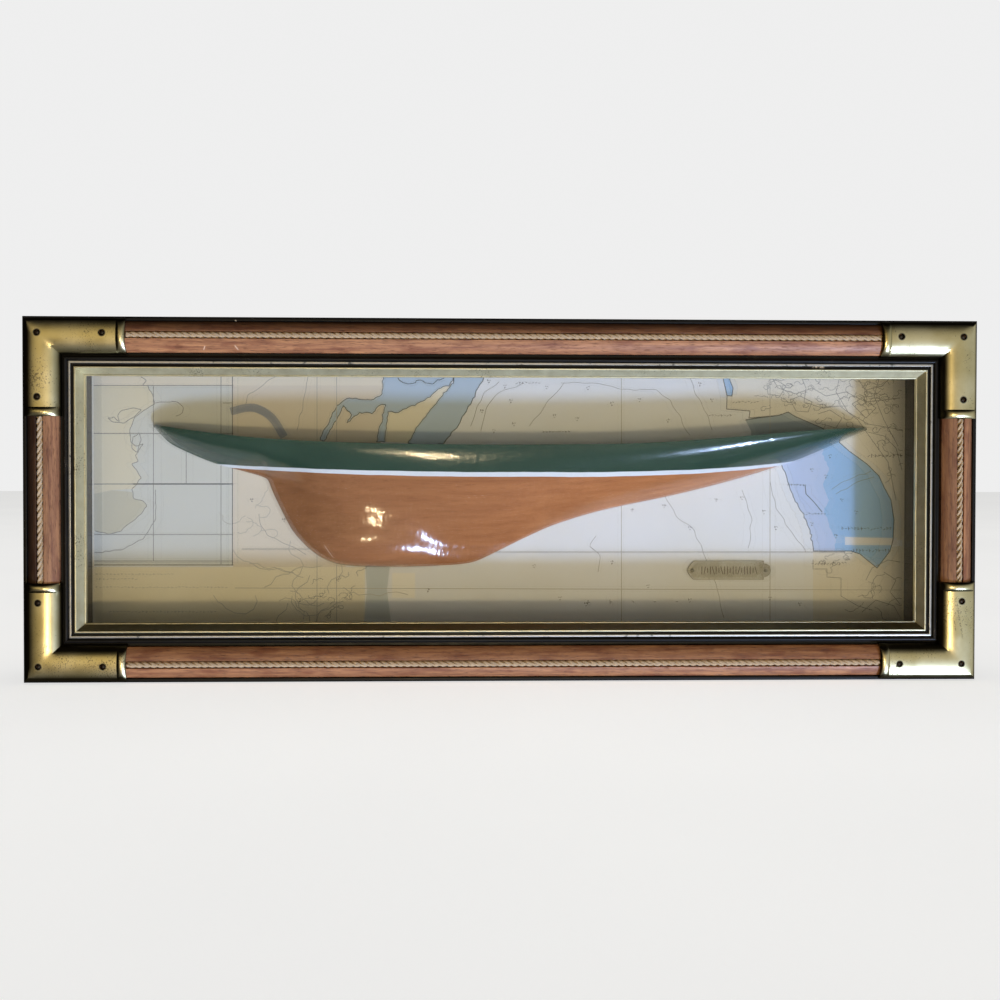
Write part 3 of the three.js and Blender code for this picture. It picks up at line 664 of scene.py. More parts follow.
brass_finish, tree, shader = new_finish("aged_brass", Metallic=1.0)
place = object_place(tree)
cloud = noise(tree, place, 46.0, 4.0, 0.6)
fine = noise(tree, place, 900.0, 3.0)
tarnish = scuff_mask(tree, place, 1100.0, 0.78)
brass = blend(tree, ramp(tree, cloud, 0.35, 0.65), shade(224, 210, 160), shade(246, 234, 192))
brass = blend(tree, reckon(tree, "MULTIPLY", tarnish, 0.75), brass, shade(110, 92, 58))
axes = add_node(tree, "ShaderNodeSeparateXYZ", {0: place}).outputs
from_side = reckon(tree, "SUBTRACT", WIDTH / 2 * MM, reckon(tree, "ABSOLUTE", axes["X"]))
off_middle = reckon(tree, "ABSOLUTE", reckon(tree, "SUBTRACT", axes["Z"], HEIGHT / 2 * MM))
from_end = reckon(tree, "SUBTRACT", HEIGHT / 2 * MM, off_middle)
in_corner = add_node(tree, "ShaderNodeCombineXYZ", {"X": from_side, "Y": from_end}).outputs[0]
to_nail = 1.0
for x, y in NAIL_SPOTS:
    inputs = {0: in_corner, 1: (x * MM, y * MM, 0)}
    distance = add_node(tree, "ShaderNodeVectorMath", inputs, operation="DISTANCE").outputs["Value"]
    to_nail = reckon(tree, "MINIMUM", distance, to_nail)
# Painted shade in the nail holes: the brass is darkened, and made rougher, in a ring round each nail.
nail_hole_shade = ramp(tree, to_nail, 1.75 * MM, 2.5 * MM, 1.0, 0.0)
# Painted shade: cap slopes that turn away from the front are darkened. Left- and up-facing slopes are darkest, then
# down-facing ones. Left caps and bottom caps get more, and right-facing slopes least.
facing = read_facing(tree)
left_share = ramp(tree, axes["X"], -0.1, 0.1, -2.0, -0.95)
lower_share = ramp(tree, axes["Z"], 0.05, 0.15, -1.4, -0.72)
turned_from_light = reckon(tree, "MAXIMUM", reckon(tree, "MULTIPLY", facing["X"], left_share), reckon(tree, "MULTIPLY", facing["Z"], 1.25))
turned_from_light = reckon(tree, "MAXIMUM", turned_from_light, reckon(tree, "MULTIPLY", facing["Z"], lower_share))
turned_from_light = reckon(tree, "MAXIMUM", turned_from_light, reckon(tree, "MULTIPLY", facing["X"], 0.72))
painted_slope_shade = ramp(tree, turned_from_light, 0.32, 0.62, 0.0, 0.96)
brass = blend(tree, painted_slope_shade, brass, shade(56, 48, 30))
brass = blend(tree, nail_hole_shade, brass, shade(44, 36, 22))
rough = reckon(tree, "ADD", ramp(tree, cloud, 0.3, 0.7, 0.30, 0.38), ramp(tree, tarnish, 0.0, 1.0, 0.0, 0.2))
rough = reckon(tree, "ADD", rough, reckon(tree, "MULTIPLY", nail_hole_shade, 0.3))
rubbed = reckon(tree, "MAXIMUM", scratch(tree, place, (267.0, 44.9), (270.7, 24.1), 1.1),
                scratch(tree, place, (265.2, 38.0), (266.4, 29.0), 0.8))
brass = blend(tree, reckon(tree, "MULTIPLY", rubbed, reckon(tree, "GREATER_THAN", fine, 0.5)), brass, shade(168, 156, 122))
connect(tree, shader, Base_Color=brass, Roughness=rough, Normal=bump(tree, fine, 0.00005, 0.5))

nail_finish, tree, shader = new_finish("dark_nail", Metallic=0.7)
place = object_place(tree)
rust = noise(tree, place, 1400.0, 3.0)
connect(tree, shader, Base_Color=blend(tree, rust, shade(44, 36, 28), shade(78, 64, 46)),
        Roughness=ramp(tree, rust, 0.3, 0.7, 0.45, 0.7))

nail_profile = [(0.05, 0.55), (0.55, 0.62), (0.95, 0.82), (1.15, 1.05), (1.15, 1.25), (0.7, 1.3), (0.7, 7.4), (0.05, 8.15)]
for corner, (sign_x, sign_z) in CORNERS.items():
    cap = cap_shell(f"brass_cap_{corner}", corner)
    spots = [(sign_x * (WIDTH / 2 - x), HEIGHT / 2 + sign_z * (HEIGHT / 2 - z)) for x, z in NAIL_SPOTS]
    hole_profile = [(2.1, FRONT - 1.0), (1.5, FRONT + 0.5), (1.4, FRONT + 4.0)]
    cut_out(cap, [turned_shape("hole", spot, hole_profile, 24) for spot in spots])
    cap.data.materials.clear()
    cap.data.materials.append(brass_finish)
    keep_facing(cap)
    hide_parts(f"corner_cap_{corner}")
    for number, spot in enumerate(spots, 1):
        profile = [(radius, FRONT + depth) for radius, depth in nail_profile]
        nail = turned_shape(f"brad_{corner}_{number}", spot, profile)
        nail.data.materials.append(nail_finish)
        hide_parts(f"cap_nail_{corner}_{number}")


# Gilt slip: a narrow leafed moulding inside the rails, with a small lip and a face that slopes
# back to the glass. It is pushed into the rabbet, and its leaf is mottled and rubbed.
slip_section = np.concatenate([
    [(24.8, 13.2), (24.8, 10.5), (28.6, 10.5), (28.6, 6.9)],
    arc((29.1, 6.9), (0.5, 0.5), 180, 270, 5),
    arc((29.4, 6.9), (0.5, 0.5), 270, 330, 4),
    [(31.4, 8.7), (33.2, 10.75)],
    arc((33.5, 11.3), (0.5, 0.5), 230, 360, 5),
    [(34.0, 13.2)],
])
leaf_finish, tree, shader = new_finish("rubbed_leaf", Metallic=0.92)
place = object_place(tree)
mottle = noise(tree, place, 160.0, 5.0, 0.65)
tarnish = scuff_mask(tree, place, 1150.0, 0.70)
leaf = blend(tree, ramp(tree, mottle, 0.30, 0.70), shade(214, 204, 166), shade(230, 222, 188))
leaf = blend(tree, reckon(tree, "MULTIPLY", tarnish, 0.7), leaf, shade(104, 84, 48))
upward = read_facing(tree)["Z"]
# Painted shade: the leaf is darkened where it faces upward, turned from the lamps below.
upward_painted_shade = ramp(tree, upward, 0.05, 0.55, 0.0, 0.85)
dull = ramp(tree, upward, -0.6, -0.3, 0.14, 0.0)
leaf = blend(tree, upward_painted_shade, leaf, shade(80, 70, 46))
connect(tree, shader, Base_Color=leaf, Roughness=reckon(tree, "ADD", ramp(tree, mottle, 0.3, 0.7, 0.42, 0.52), dull),
        Normal=bump(tree, noise(tree, place, 480.0, 4.0), 0.00008, 0.5))
for side in SIDES:
    slip = mitred_strip(f"leafed_slip_{side}", side, slip_section)
    slip.data.materials.append(leaf_finish)
    keep_facing(slip)
    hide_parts(f"gilt_slip_{side}")


# Glass: one clear flat pane behind the slip, faintly dusty.
glass_finish, tree, shader = new_finish("clear_pane", Base_Color=(1, 1, 1, 1), Metallic=0.0, IOR=1.45,
                                        Transmission_Weight=1.0, Alpha=0.12)
connect(tree, shader, Roughness=ramp(tree, noise(tree, object_place(tree), 30.0, 4.0), 0.4, 0.7, 0.0, 0.06))
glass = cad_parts["glass_pane"]
glass.data.materials.clear()
glass.data.materials.append(glass_finish)


# Printed chart: a flat paper sheet on the back board, printed with a framed side chart, shallow
# bays and lagoons, coast lines, depth contours, a fine grid and rows of marks that aren't letters.
CHART_FRONT = (FRONT + 50) * MM
CHART_BACK = (FRONT + 50.6) * MM
SHEET_EDGE = 24.8
PAPER = shade(228, 224, 212)
INK = {
    "sea": shade(223, 227, 232),
    "east_land": shade(221, 219, 210),
    "land": shade(224, 219, 200),
    "lagoon": shade(179, 197, 214),
    "bay": shade(150, 187, 227),
    "bay_edge": shade(182, 199, 232),
    "shoal": shade(158, 172, 182),
    "deep_line": shade(92, 96, 98),
    "line": shade(132, 133, 130),
    "faint": shade(172, 171, 164),
    "mark": shade(86, 86, 88),
    "inset": shade(203, 206, 202),
    "inset_coast": shade(214, 209, 189),
    # The next ink is painted light, for the band of warmer light along the top.
    "painted_top_light": shade(222, 216, 200),
    "inset_land": shade(196, 194, 178),
    "west_land": shade(213, 206, 192),
    "yellow": shade(232, 231, 224),
    "strip": shade(190, 199, 203),
    "pier": shade(214, 217, 222),
    "arc_band": shade(148, 154, 166),
}
printed = []


def area(ink, points):
    """A printed patch inside a closed outline, kept inside the sheet and turned to run
    anticlockwise. One that would be thinner than a hair is left out."""
    half = (WIDTH / 2 - SHEET_EDGE - 1.2) * MM
    outline = seen_at(points, CHART_FRONT)
    outline[:, 0] = np.clip(outline[:, 0], -half, half)
    outline[:, 1] = np.clip(outline[:, 1], (SHEET_EDGE + 1.2) * MM, (HEIGHT - SHEET_EDGE - 1.2) * MM)
    after = np.roll(outline, -1, axis=0)
    twice_area = np.sum(outline[:, 0] * after[:, 1] - after[:, 0] * outline[:, 1])
    if abs(twice_area) > 2e-9:
        printed.append((ink, outline if twice_area > 0 else outline[::-1]))


def smooth(points, steps=4):
    """The same course with soft bends: a cubic through the points, cut into short steps."""
    points = np.asarray(points, float)
    ends = np.concatenate([points[:1], points, points[-1:]])
    share = np.linspace(0, 1, steps, endpoint=False)[None, :, None]
    a, b, c, d = (ends[i:len(ends) - 3 + i, None, :] for i in range(4))
    course = b + 0.5 * share * (c - a + share * (2 * a - 5 * b + 4 * c - d + share * (3 * (b - c) + d - a)))
    return np.concatenate([course.reshape(-1, 2), points[-1:]])


def ragged(points, seed, size=0.9, step=3.0):
    """The same course cut into pieces about one step long, with each new corner moved at random."""
    draw = np.random.default_rng(seed)
    course = [points[0]]
    for start, end in zip(np.array(points[:-1], float), np.array(points[1:], float)):
        pieces = max(1, round(np.hypot(*(end - start)) / step))
        for number in range(1, pieces):
            course.append(start + (end - start) * number / pieces + draw.uniform(-size, size, 2))
        course.append(end)
    return course


def line(ink, points, width=1.0):
    """A printed line: one narrow patch for each straight piece, width in the picture's units."""
    course = np.asarray(points, float)
    for start, end in zip(course[:-1], course[1:]):
        run = (end - start) / max(np.hypot(*(end - start)), 1e-6) * width / 2
        side = np.array([-run[1], run[0]])
        start_out = start - run * 0.6
        end_out = end + run * 0.6
        area(ink, [start_out - side, end_out - side, end_out + side, start_out + side])


def marks(ink, x, y, count, seed, size=2.2, pitch=3.4, slant=0.0):
    """A row of short upright and level strokes in place of words and figures."""
    draw = np.random.default_rng(seed)
    for number in range(count):
        left = x + number * pitch
        top = y + slant * number + draw.uniform(-0.2, 0.2)
        tall = size * draw.uniform(0.75, 1.1)
        if draw.random() < 0.5:
            line(ink, [(left, top), (left + draw.uniform(-0.3, 0.6), top + tall)], 0.55)
        bar = tall * draw.choice([0.1, 0.5, 0.95])
        line(ink, [(left - 0.2, top + bar), (left + min(pitch, 4.0) * 0.5, top + tall * 0.5)], 0.5)


SEA = [(60, 345), (940, 348), (940, 645), (60, 645)]
SIDE_CHART = [(91, 372), (233, 372), (233, 565), (91, 565)]
SIDE_CHART_SHORE = [(91, 385.5), (148, 386), (153, 396), (154.4, 404), (143, 411), (134.4, 418), (130, 429), (131, 442),
                    (136, 446), (138, 461), (132, 464), (141, 478), (134, 489), (112, 490), (91, 494)]
# Painted light: a lighter, warmer band along the top of the chart's left part, where more warm light falls.
LIT_TOP_BAND = [(91, 372), (384, 372), (384, 385.5), (91, 385.5)]
SIDE_CHART_LAND = [(91, 494), (112, 490), (132, 492), (133.3, 498), (143, 501), (146.7, 505.6), (141, 514), (130, 523),
                   (121, 531), (108, 534), (95.6, 531), (91, 531)]
BELOW_SIDE_CHART = [(91, 567), (365, 567), (365, 632), (91, 632)]
WEST_LAND = [(233, 372), (384, 372), (384, 440), (346, 470), (346, 570), (233, 570)]
LAGOON = ragged([(383, 372), (383, 376), (382, 394), (371, 400), (359.5, 399.4), (347, 398.5), (337, 405.7), (330, 419),
          (320, 440), (324, 441), (333, 425), (343.6, 405.7), (351.5, 414.8), (347, 422.7), (359.5, 412.5),
          (372, 413.7), (378.7, 405.7), (385.6, 404.6), (381, 424), (376.5, 442), (385, 442), (386, 426),
          (388, 412), (398, 412.5), (425, 400), (443, 386.5), (449, 386), (453, 380), (452, 372)], 51)
CHANNEL = ragged([(454, 372), (453.6, 383), (448, 389), (432, 408), (418, 426), (408, 443), (420, 446), (443, 444),
           (448, 437.5), (458, 426), (463.8, 414.8), (475, 396.7), (477.4, 388.7), (485.3, 376), (486, 372)], 52)
TONGUE = [(388, 412), (398, 412.5), (425, 400), (443, 386.5), (453.6, 383), (448, 389), (432, 408), (418, 426),
          (408, 443), (385, 442)]
SHALLOWS = ragged([(398, 378), (408, 384), (420, 380), (432, 384), (444, 378)], 53, 1.4)
INLET = [(722, 372), (723, 378), (727, 395.6), (732, 396), (733, 388), (729, 378), (729, 372)]
SHORE = [(727, 395.6), (726.7, 409), (750, 411), (749, 418), (778, 415.6), (788, 412), (795.6, 416.7), (822, 428),
         (839, 442), (849, 451), (867, 464), (879, 476), (884, 487), (891, 500), (894, 520), (893, 540)]
HARBOUR = [(745.5, 420), (757.7, 418), *SHORE[4:8], (846, 450), (780, 450), (752, 446), (751, 431)]
WEST_BANK = ragged([(776, 446), (782, 466), (787, 478), (793, 496.5), (802, 512), (810, 530), (813.4, 551)], 54)
SHOAL_EDGE = ragged([(834, 551), (836, 540), (829, 524), (824, 512), (829, 500), (823, 484), (829, 468), (822, 454),
                     (824, 444)], 55)
BAY = [*WEST_BANK, (851, 551), (860, 554), (877, 568), (890, 551), *SHORE[:7:-1]]
BAY_EDGE = [*WEST_BANK, *SHOAL_EDGE]
EAST_LAND = [(729, 372), (729, 378), (733, 388), (732, 396), *SHORE, (910, 540), (910, 372)]
SOUTH_LAND = [(813, 552), (910, 546), (910, 634), (813, 634)]
BLUE_STRIP = [(365, 565), (390, 565), (387, 590), (391, 622), (364, 622), (367, 590)]
YELLOW_BLOCK = [(392, 573), (415, 573), (415, 598), (392, 598)]
PIER = [(845, 537), (897, 538), (897, 545), (845, 545)]

for ink, outline in (
    ("sea", SEA), ("inset", SIDE_CHART), ("inset_coast", SIDE_CHART_SHORE), ("inset_land", SIDE_CHART_LAND),
    ("west_land", WEST_LAND), ("painted_top_light", LIT_TOP_BAND), ("land", BELOW_SIDE_CHART),
    ("east_land", EAST_LAND), ("east_land", SOUTH_LAND), ("shoal", HARBOUR), ("bay", BAY), ("bay_edge", BAY_EDGE), ("bay", INLET),
    ("land", TONGUE), ("lagoon", LAGOON), ("lagoon", CHANNEL), ("strip", BLUE_STRIP), ("yellow", YELLOW_BLOCK),
    ("pier", PIER),
):
    area(ink, outline)

COASTS = (
    LAGOON, CHANNEL, SHORE, BAY[:len(WEST_BANK) + 5], INLET, HARBOUR[:3], SHALLOWS,
    [(805, 485), (806, 494), (814, 502), (822, 512)],
)
CONTOURS = (
    [(275, 377), (262, 386), (248, 395), (243, 410)],
    [(308, 377), (303, 402), (297, 430)],
    [(499, 382), (484, 393), (477.4, 406), (470.6, 426)],
    [(522.7, 383), (496.7, 394.4), (486.5, 408), (480.8, 430.7)],
    [(563.6, 383), (553.4, 395.6), (534, 419.4), (529.5, 426)],
    [(561, 383), (591, 383), (620, 389), (656.5, 390), (670, 400), (690, 435)],
    [(690, 378), (694, 390), (700, 400), (708, 416), (712, 430)],
    [(596, 536), (590, 546), (600, 556), (598, 572)],
    [(664, 494), (676, 516), (694, 530), (703, 552), (716, 584), (724, 618)],
    [(742, 490), (752, 520), (748, 548)],
    [(770, 480), (776, 508), (790, 530), (806, 552)],
    [(259, 514), (261, 525.6), (268, 535.6), (283, 543), (305.6, 554.4)],
    [(832, 489), (848, 480), (871, 471)],
    [(836, 494), (852, 485), (874, 477)],
)
SIDE_CHART_COASTS = (
    [(141, 377), (146, 381), (143, 385), (148, 386), (153, 396), (154.4, 404), (143, 411), (134.4, 418), (130, 429),
     (131, 442), (136, 446), (143, 444), (139, 450), (135.6, 455.6), (138, 461), (132, 464), (141, 478), (132, 489),
     (133.3, 498), (143, 501), (146.7, 505.6), (141, 514), (130, 523), (121, 531), (108, 534), (95.6, 531)],
    [(155.6, 403), (163, 402), (177, 402), (183, 407), (182, 413), (176, 416)],
    [(108, 418), (114, 417), (119, 421), (118, 415), (121, 411), (134, 408), (141, 410), (134, 417), (124, 423), (113, 422),
     (108, 418)],
    [(155.6, 490), (155.6, 519), (143, 539), (121, 550), (91, 553)],
    [(133, 437), (139, 433), (141, 440), (137, 452), (132, 448), (133, 437)],
)
STREETS = (
    [(770, 374), (778, 388), (796, 394), (812, 388), (826, 396), (846, 392), (866, 402), (900, 398)],
    [(800, 374), (806, 388), (804, 402), (822, 408), (840, 406), (858, 420), (872, 440), (888, 462), (896, 500)],
    [(840, 376), (836, 392), (848, 412), (868, 424), (904, 430)],
    [(880, 376), (874, 396), (884, 420), (898, 446)],
    [(852, 404), (862, 398), (876, 408), (866, 418), (852, 404)],
    [(767, 384), (776, 380), (786, 386), (780, 396), (768, 394), (767, 384)],
    [(790, 400), (800, 396), (812, 402), (808, 412), (796, 411), (790, 400)],
    [(818, 414), (830, 410), (842, 418), (836, 428), (822, 424)],
    [(858, 380), (866, 390), (882, 386), (892, 376)],
    [(868, 432), (884, 436), (896, 448), (902, 470)],
    [(813, 560), (813, 569), (827, 569), (827, 577), (841, 578), (841, 596), (858, 606), (872, 610)],
    [(866, 580), (872, 568), (888, 560), (900, 562)],
    [(884, 572), (896, 580), (890, 592), (900, 604)],
    [(862, 612), (876, 600), (894, 606), (902, 620)],
)
LEVELS = (385.5, 433.5, 484, 534.4, 561)
UPRIGHTS = (317, 336.6, 621.4, 770)
for outline in COASTS:
    line("deep_line", outline, 0.9)
for number, outline in enumerate(CONTOURS):
    line("line", smooth(ragged(outline, 60 + number, 1.1, 7.0)), 0.5)
for number, outline in enumerate(SIDE_CHART_COASTS):
    line("line", smooth(ragged(outline, 80 + number, 0.6, 4.0)), 0.75)
for outline in STREETS:
    line("line", outline, 0.6)
ROUND_BAND = [(233, 411), (246, 408), (258, 409), (272, 418), (283, 435)]
line("arc_band", smooth(ROUND_BAND), 8.0)


def wandering(ink, low, high, count, step, turn, seed, width=0.5):
    """Small broken courses in place of fine map detail: each starts at a random place between two
    corners and takes eight steps, turning by up to the given angle before each."""
    draw = np.random.default_rng(seed)
    for _ in range(count):
        heading = draw.uniform(0, 2 * math.pi)
        course = [draw.uniform(low, high)]
        for _ in range(8):
            heading += draw.choice([-1, 1, 1]) * draw.uniform(0.4, 1.0) * turn
            stride = step * draw.uniform(0.4, 1.3)
            course.append(course[-1] + stride * np.array([math.cos(heading), 0.8 * math.sin(heading)]))
        line(ink, course, width)


wandering("line", (768, 378), (822, 408), 20, 3.4, 1.5, 31)
wandering("line", (830, 380), (898, 430), 34, 4.4, 1.4, 32)
wandering("line", (874, 434), (900, 470), 8, 4.0, 1.3, 33)
wandering("line", (862, 570), (898, 610), 9, 5.0, 0.9, 34)
wandering("line", (818, 557), (850, 566), 9, 2.6, 1.6, 35)
wandering("faint", (250, 566), (345, 608), 14, 9.0, 0.8, 36, 0.7)
wandering("faint", (242, 505), (262, 552), 6, 5.0, 0.9, 37, 0.6)
wandering("line", (318, 570), (360, 612), 12, 3.0, 1.2, 38)
for level in LEVELS:
    line("line", [(91, level), (233, level)], 0.8)
line("deep_line", [(133, 484), (233, 484)], 1.2)
line("deep_line", [(91, 565), (233, 565)], 1.0)
line("deep_line", [(232.4, 375), (232.4, 565)], 1.0)
line("line", [(221, 375), (221, 565)], 0.8)
line("line", [(153.4, 385.7), (153.4, 561)], 0.8)
line("line", [(186.2, 450), (186.2, 484)], 0.8)
line("line", [(223, 403), (232, 403)], 0.8)
line("line", [(242, 549), (317, 549)], 0.7)
line("line", [(490, 552), (845, 552)], 0.8)
line("faint", [(235, 588), (905, 590)], 0.7)
for upright in UPRIGHTS:
    line("faint", [(upright, 374), (upright, 624)], 0.8)

# Rows of faint strokes below the side chart, then pairs of small strokes for the depths: level,
# start and number of strokes in each row.
FAINT_ROWS = ((573.6, 96, 22), (578.2, 96, 12), (586.5, 96, 37), (611, 110, 30))
DEPTHS = [(489, 381), (505, 386), (546.5, 387.6), (511, 401), (482, 411), (514, 424), (554.5, 416), (577, 419),
          (612, 403.5), (639.5, 400), (668, 420.5), (494, 431), (588, 388), (700, 384), (712, 400), (560, 598),
          (612, 562), (648, 586), (690, 600), (534, 566), (586, 604), (632, 510), (664, 506), (690, 528), (716, 500),
          (742, 498), (764, 512), (776, 528), (812, 470), (826, 476), (842, 500), (830, 456), (856, 512), (800, 604),
          (770, 598), (812, 524), (836, 536), (252, 500), (262, 470), (284, 520), (300, 600), (338, 580), (428, 590)]
WORD_ROWS = ((516, 382, 8, 1.8, 3.2), (543, 431, 9, 1.6, 3.2), (733, 401, 9, 1.8, 3.0), (709, 414.6, 8, 1.6, 3.0),
             (868, 454, 10, 3.4, 3.6), (788, 484, 6, 1.6, 3.0), (806, 513, 7, 1.6, 3.0), (812, 562, 12, 3.0, 3.0),
             (588, 600, 5, 4.2, 22.0), (842, 527, 16, 3.2, 3.2), (850, 549, 13, 3.0, 3.2))
for row, (level, first, count) in enumerate(FAINT_ROWS):
    marks("faint", first, level, count, 20 + row, 1.5, 3.6)
for number, (x, y) in enumerate(DEPTHS):
    marks("mark", x - 1.4, y - 1.6, 2, 100 + number, 1.5, 2.0)
    marks("mark", x - 0.4, y + 0.8, 1, 200 + number, 1.3, 2.0)
for row, (x, y, count, size, pitch) in enumerate(WORD_ROWS):
    marks("mark", x, y, count, 7 + row, size, pitch)


def printed_sheet(name):
    """A flat sheet whose front is cut up along the outline of every printed patch, with the ink
    of the last patch printed there on each face; the back and the four edges are plain paper."""
    half = (WIDTH / 2 - SHEET_EDGE) * MM
    low = SHEET_EDGE * MM
    high = (HEIGHT - SHEET_EDGE) * MM
    rim = [(-half, low), (half, low), (half, high), (-half, high)]
    corners = [Vector(corner) for corner in rim]
    faces = [[0, 1, 2, 3]]
    for ink, outline in printed:
        faces.append(list(range(len(corners), len(corners) + len(outline))))
        corners += [Vector(pair) for pair in outline.tolist()]
    places, _, pieces, _, _, sources = delaunay_2d_cdt(corners, [], faces, 1, 1e-7)
    colours = [PAPER if not max(source) else INK[printed[max(source) - 1][0]] for source in sources]
    front = [(place.x, CHART_FRONT, place.y) for place in places]
    count = len(front)
    back = [(x, CHART_BACK, z) for x, z in rim]
    nearest = [min(range(count), key=lambda i: (front[i][0] - x) ** 2 + (front[i][2] - z) ** 2) for x, z in rim]
    plain = [[count + 3, count + 2, count + 1, count]]
    for i in range(4):
        j = (i + 1) % 4
        plain.append([nearest[i], count + i, count + j, nearest[j]])
    mesh = bpy.data.meshes.new(name)
    mesh.from_pydata(front + back, [], [list(piece) for piece in pieces] + plain)
    ink_of_face = np.array(colours + [PAPER] * len(plain), dtype=np.float32)
    sizes = np.empty(len(mesh.polygons), dtype=np.int32)
    mesh.polygons.foreach_get("loop_total", sizes)
    tint = mesh.color_attributes.new("ink", "FLOAT_COLOR", "CORNER")
    tint.data.foreach_set("color", np.repeat(ink_of_face, sizes, axis=0).ravel())
    return add_piece(name, mesh, 20)


chart_sheet = printed_sheet("printed_chart")
paper_finish, tree, shader = new_finish("printed_paper", Roughness=0.75, Specular_IOR_Level=0.3)
place = object_place(tree)
ink_seen = add_node(tree, "ShaderNodeVertexColor", layer_name="ink").outputs["Color"]
aged = blend(tree, ramp(tree, noise(tree, place, 16.0, 3.0), 0.35, 0.7, 0.0, 0.35), (1, 1, 1, 1), (0.93, 0.88, 0.76, 1))
fibres = blend(tree, noise(tree, place, 1500.0, 3.0), (0.93, 0.93, 0.93, 1), (1, 1, 1, 1))
colour = blend(tree, 1.0, blend(tree, 1.0, ink_seen, aged, "MULTIPLY"), fibres, "MULTIPLY")
connect(tree, shader, Base_Color=colour, Normal=bump(tree, noise(tree, place, 2600.0, 3.0), 0.00004, 0.4))
chart_sheet.data.materials.append(paper_finish)
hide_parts("chart_sheet")


# Back board: plain brown hardboard that closes the box behind the chart.
board_finish, tree, shader = new_finish("hardboard", Roughness=0.85)
place = object_place(tree)
pressed = noise(tree, place, 480.0, 6.0, 0.7)
connect(tree, shader, Base_Color=blend(tree, pressed, shade(112, 82, 54), shade(150, 116, 80)),
        Normal=bump(tree, pressed, 0.0002, 0.6))
back_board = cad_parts["back_board"]
back_board.data.materials.clear()
back_board.data.materials.append(board_finish)


# Half hull: one carved block of a long-keeled sailing boat, flat side on the chart. It is painted
# dark green above and varnished below, with a white stripe between, all in deep gloss.
HULL_MIDDLE = 6.2
WATERLINE = 121.0
HULL_BACK = 49.7
HULL_AFT = -223.0
HULL_FORE = 224.5


def through(points):
    """A smooth curve through the points, read at any x: between two points it is the cubic that
    keeps the slope of the line joining their outer neighbours."""
    known = np.array(points, float)
    x_known, y_known = known.T
    slope = np.empty(len(known))
    slope[1:-1] = (y_known[2:] - y_known[:-2]) / (x_known[2:] - x_known[:-2])
    slope[0] = (y_known[1] - y_known[0]) / (x_known[1] - x_known[0])
    slope[-1] = (y_known[-1] - y_known[-2]) / (x_known[-1] - x_known[-2])

    def read(x):
        i = np.clip(np.searchsorted(x_known, x) - 1, 0, len(known) - 2)
        run = x_known[i + 1] - x_known[i]
        t = np.clip((x - x_known[i]) / run, 0, 1)
        start = (2 * t ** 3 - 3 * t ** 2 + 1) * y_known[i] + (t ** 3 - 2 * t ** 2 + t) * run * slope[i]
        end = (3 * t ** 2 - 2 * t ** 3) * y_known[i + 1] + (t ** 3 - t ** 2) * run * slope[i + 1]
        return start + end

    return read


sheer_height = through([
    (-223, 31), (-169, 23.8), (-118, 20.3), (-40, 18.6), (40, 18.8), (77, 19.7), (121, 22.5), (182, 27.8),
    (224.5, 30.3),
])
profile_height = through([
    (-223, 29.6), (-213.8, 20.2), (-203.4, 14.5), (-184.7, 6.9), (-166.1, 1.8), (-155.6, -1.4), (-152.4, -3.8),
    (-149.3, -11.5), (-138.9, -32.3), (-132.7, -40.6), (-124.4, -48.4), (-116.1, -53.4), (-107.7, -56),
    (-95, -57.3), (-69.5, -57.6), (-38, -56.3), (-27, -55), (-20, -52.8), (7.4, -39.4), (27.1, -30.8),
    (56.3, -22), (101.7, -12.3), (139.3, -2.8), (167.3, 5.7), (185.1, 11.9), (213.9, 24.4), (224.5, 29),
])
fair_bottom = through([
    (-223, 18), (-190, 4), (-166, 0), (-149, -3.2), (-135, -8), (-115, -20), (-95, -31), (-75, -37),
    (-53, -44), (-36, -47), (-16, -46), (20, -43), (60, -42), (224.5, -40),
])
keel_half_width = through([
    (-223, 0.8), (-156, 2), (-140, 6), (-122, 13), (-106, 17.2), (-94, 18.6), (-80, 18), (-66, 15.6),
    (-53, 12), (-40, 8), (-28, 5.2), (-14, 4.3), (20, 4), (60, 3.4), (110, 2.3), (224.5, 0.4),
])
keel_rounding = through([
    (-223, 3), (-156, 5), (-145, 8), (-120, 17), (-95, 22), (-75, 26), (-60, 33), (-48, 40), (-32, 40),
    (0, 26), (50, 14), (110, 8), (224.5, 3),
])
deck_half_width = through([
    (-223, 0), (-221, 5), (-214, 10.5), (-200, 17.2), (-180, 22.6), (-150, 27.3), (-115, 30), (-70, 30.8),
    (-20, 30.8), (30, 30.6), (70, 30.0), (110, 28.8), (150, 26.6), (190, 22.0), (208, 16.8), (218, 10.4),
    (224.5, 0),
])


def hull_half_width(x, height):
    """Half breadth at a height: a rounded body that runs out at its own bottom, joined smoothly to
    the thickness of the keel, which is rounded at its foot and fades out towards the deck."""
    sheer = sheer_height(x)
    keel = profile_height(x)
    body_bottom = keel + 3 * np.log(1 + np.exp((fair_bottom(x) - keel) / 3))
    sink = np.clip((sheer - height) / (sheer - body_bottom), 0, 1)
    fullness = 1.15 - 0.25 * (x - HULL_AFT) / (HULL_FORE - HULL_AFT)
    body = deck_half_width(x) * (1 - sink ** 1.9) ** fullness
    rise = np.clip((height - keel) / keel_rounding(x), 0, 1)
    fin = keel_half_width(x) * np.sqrt(1 - (1 - rise) ** 2.6)
    fade = np.clip((sink - 0.1) / 0.8, 0, 1)
    fade = fade * fade * (3 - 2 * fade)
    return (body ** 2.5 + (fin * fade) ** 2.5) ** 0.4


